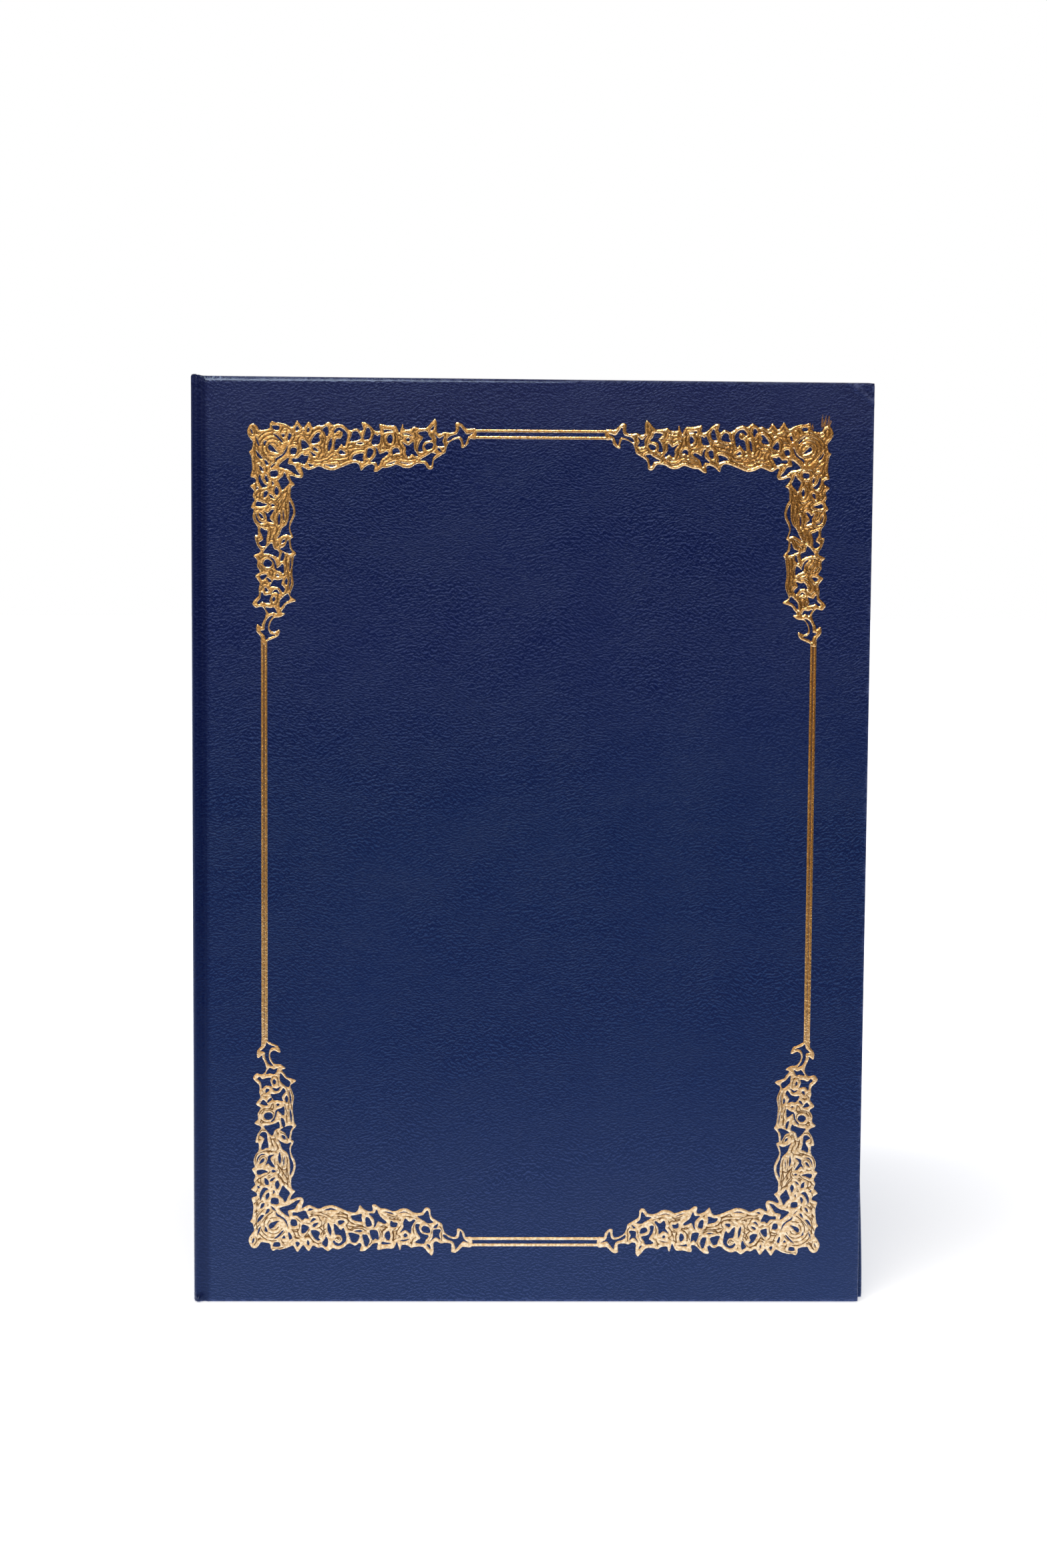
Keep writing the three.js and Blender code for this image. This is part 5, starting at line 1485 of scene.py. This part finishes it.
panel_low, panel_high = box_mm("back_lining_panel")
ribbon_low, ribbon_high = box_mm("ribbon_upper_edge")
span = RIBBON_REACH + RIBBON_WIDTH / math.sqrt(2)
over = (ribbon_high.y - ribbon_low.y - RIBBON_THICK) / 2
middle_y = (ribbon_high.y + ribbon_low.y) / 2
RIBBON_LENGTH = math.sqrt(2) * (span + 2 * (TAIL + math.pi * over))


def over_edge(past):
    """Where a point goes that is past the edge by this much: its distance inside the edge, and its turn."""
    turn = min(max(past / over, 0), math.pi)
    inside = -over * math.sin(turn) if turn < math.pi else past - math.pi * over
    return (-past if past <= 0 else inside), turn


def folded(u, v, bow):
    (u, turn_u), (v, turn_v) = over_edge(-u), over_edge(-v)
    return u, -over * math.cos(max(turn_u, turn_v)) - bow, v


def ribbon(name, at_spine, at_top):
    rows, cols = ALONG_STEPS, ACROSS_STEPS
    points, faces, flat = [], [], []
    for i in range(rows + 1):
        b = RIBBON_LENGTH * (i / rows - 0.5)
        bow = CROWN * eased(np.array(1 - abs(b) / (span / math.sqrt(2)))).item()
        for j in range(cols + 1):
            a = RIBBON_WIDTH * (j / cols - 0.5)
            cup = 1 - 0.5 * (2 * j / cols - 1) ** 2
            from_side = span / 2 + (a - b) / math.sqrt(2)
            from_end = span / 2 + (a + b) / math.sqrt(2)
            u, y, v = folded(from_side, from_end, bow * cup)
            x = panel_low.x + u if at_spine else panel_high.x - u
            z = panel_high.z - v if at_top else panel_low.z + v
            points.append(Vector((x, middle_y + y, z)) * MM)
            flat.append((a, b))
    for i in range(rows):
        for j in range(cols):
            k = i * (cols + 1) + j
            faces.append((k, k + 1, k + cols + 2, k + cols + 1))
    mesh = bpy.data.meshes.new(name)
    mesh.from_pydata(points, [], faces)
    layer = mesh.uv_layers.new(name="band")
    for loop in mesh.loops:
        layer.data[loop.index].uv = flat[loop.vertex_index]
    mesh.polygons.foreach_set("use_smooth", [True] * len(mesh.polygons))
    mesh.materials.append(SATIN)
    piece = bpy.data.objects.new(name, mesh)
    scene.collection.objects.link(piece)
    thick = piece.modifiers.new("thickness", "SOLIDIFY")
    thick.thickness = RIBBON_THICK * MM
    thick.offset = 0
    apply_modifiers(piece)
    return piece


for place, at_spine, at_top in CORNERS:
    band = ribbon("satin_ribbon_" + place, at_spine, at_top)
    bm = bmesh.new()
    bm.from_mesh(band.data)
    bmesh.ops.recalc_face_normals(bm, faces=bm.faces)
    bm.to_mesh(band.data)
    bm.free()
    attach(band, "back_cover")
    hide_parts("ribbon_" + place)
    print(band.name, len(band.data.polygons), "faces, flat length", round(RIBBON_LENGTH, 1), "mm")

# %% [markdown]
# ## Floor, light and background
# The photograph is a cut-out on white. A white table that ends not far in front of the holder explains the
# foil: the lower corners mirror the pale table and look flat and light, the upper ones mirror the dim room
# beyond it and look deep gold. So the floor stops there. It glows, to be as white as the cut-out's ground:
# seen directly it is dimmer close to the holder, where a soft shadow would lie, and in a mirror it is even
# and a little blue. The world is white where it is seen directly. In a mirror it is white behind the holder
# and a dim, warm room in front, with a lit wall straight ahead for the slopes that face up.

# %% Floor
WHITE = (1, 1, 1, 1)
TABLE_FRONT = -0.30
TABLE_SIDE = 3.0
TABLE_BACK = 3.0
NEAR_GLOW = 0.50
FAR_GLOW = 1.0
TABLE_GLOW = 0.85
GLOW_FROM = 0.16
GLOW_TO = 0.5
FLOOR_DROP = 0.0002

floor_mesh = bpy.data.meshes.new("floor")
floor_corners = [(-TABLE_SIDE, TABLE_FRONT), (TABLE_SIDE, TABLE_FRONT), (TABLE_SIDE, TABLE_BACK),
                 (-TABLE_SIDE, TABLE_BACK)]
floor_mesh.from_pydata([(x, y, -FLOOR_DROP) for x, y in floor_corners], [], [(0, 1, 2, 3)])
floor = bpy.data.objects.new("floor", floor_mesh)
scene.collection.objects.link(floor)


def white_floor():
    material, tree, shader = new_material("white_floor")
    shader.inputs["Base Color"].default_value = (0.75, 0.78, 0.84, 1)
    shader.inputs["Roughness"].default_value = 0.9
    seen = tree.nodes.new("ShaderNodeLightPath").outputs["Is Camera Ray"]
    mirrored = (0.93, 1.04, 1.36, 1)
    feed(tree, shader.inputs["Emission Color"], blended(tree, seen, mirrored, WHITE))
    away = add_node(tree, "ShaderNodeVectorMath", {0: object_place(tree)}, operation="LENGTH")
    near = ranged(tree, away.outputs["Value"], GLOW_FROM, GLOW_TO, NEAR_GLOW - TABLE_GLOW,
                  FAR_GLOW - TABLE_GLOW)
    glow = sums(tree, "MULTIPLY_ADD", seen, near, TABLE_GLOW)
    feed(tree, shader.inputs["Emission Strength"], glow)
    return material


floor_mesh.materials.append(white_floor())
print("floor in place")

# %% World
WALL_LEFT = 0.10


def studio_world():
    world = bpy.data.worlds.new("studio")
    world.use_nodes = True
    tree = world.node_tree
    way = axes(tree, tree.nodes.new("ShaderNodeTexCoord").outputs["Generated"])
    path = tree.nodes.new("ShaderNodeLightPath").outputs
    low_wall = (0.12, 0.055, 0.005, 1)
    lit_wall = (1.68, 1.26, 0.78, 1)
    facing = blended(tree, ranged(tree, way["Z"], -0.23, 0.12), low_wall, lit_wall)
    aside = sums(tree, "ABSOLUTE", sums(tree, "ADD", way["X"], WALL_LEFT))
    dim_room = (0.11, 0.065, 0.025, 1)
    room = blended(tree, ranged(tree, aside, 0.05, 0.25), facing, dim_room)
    mirrored = blended(tree, ranged(tree, way["Y"], 0.1, 0.6), room, WHITE)
    glossy = sums(tree, "MAXIMUM", path["Is Glossy Ray"], path["Is Transmission Ray"])
    soft_light = (0.32, 0.33, 0.36, 1)
    light = blended(tree, glossy, soft_light, mirrored)
    light = blended(tree, path["Is Camera Ray"], light, WHITE)
    feed(tree, tree.nodes["Background"].inputs["Color"], light)
    tree.nodes["Background"].inputs["Strength"].default_value = 1.0
    return world


scene.world = studio_world()
print("world in place")

# %% Lamps
AIM = Vector((0, 0, 0.15))


def softbox(name, place, size, watts, colour):
    lamp = bpy.data.lights.new(name, "AREA")
    lamp.shape = "RECTANGLE"
    lamp.size, lamp.size_y = size
    lamp.energy = watts
    lamp.color = colour
    holder = bpy.data.objects.new(name, lamp)
    holder.location = place
    holder.visible_camera = False
    holder.rotation_euler = (AIM - Vector(place)).to_track_quat("-Z", "Y").to_euler()
    scene.collection.objects.link(holder)


softbox("overhead", place=(-0.20, -0.78, 1.22), size=(0.62, 0.26), watts=12, colour=(1.0, 0.925, 0.80))
softbox("fill_left", place=(-1.15, -1.55, 0.85), size=(1.2, 1.4), watts=3, colour=(1.0, 0.86, 0.62))
softbox("fill_right", place=(1.5, -1.3, 1.1), size=(0.7, 0.7), watts=2, colour=(1.0, 0.78, 0.44))
print("lamps in place")
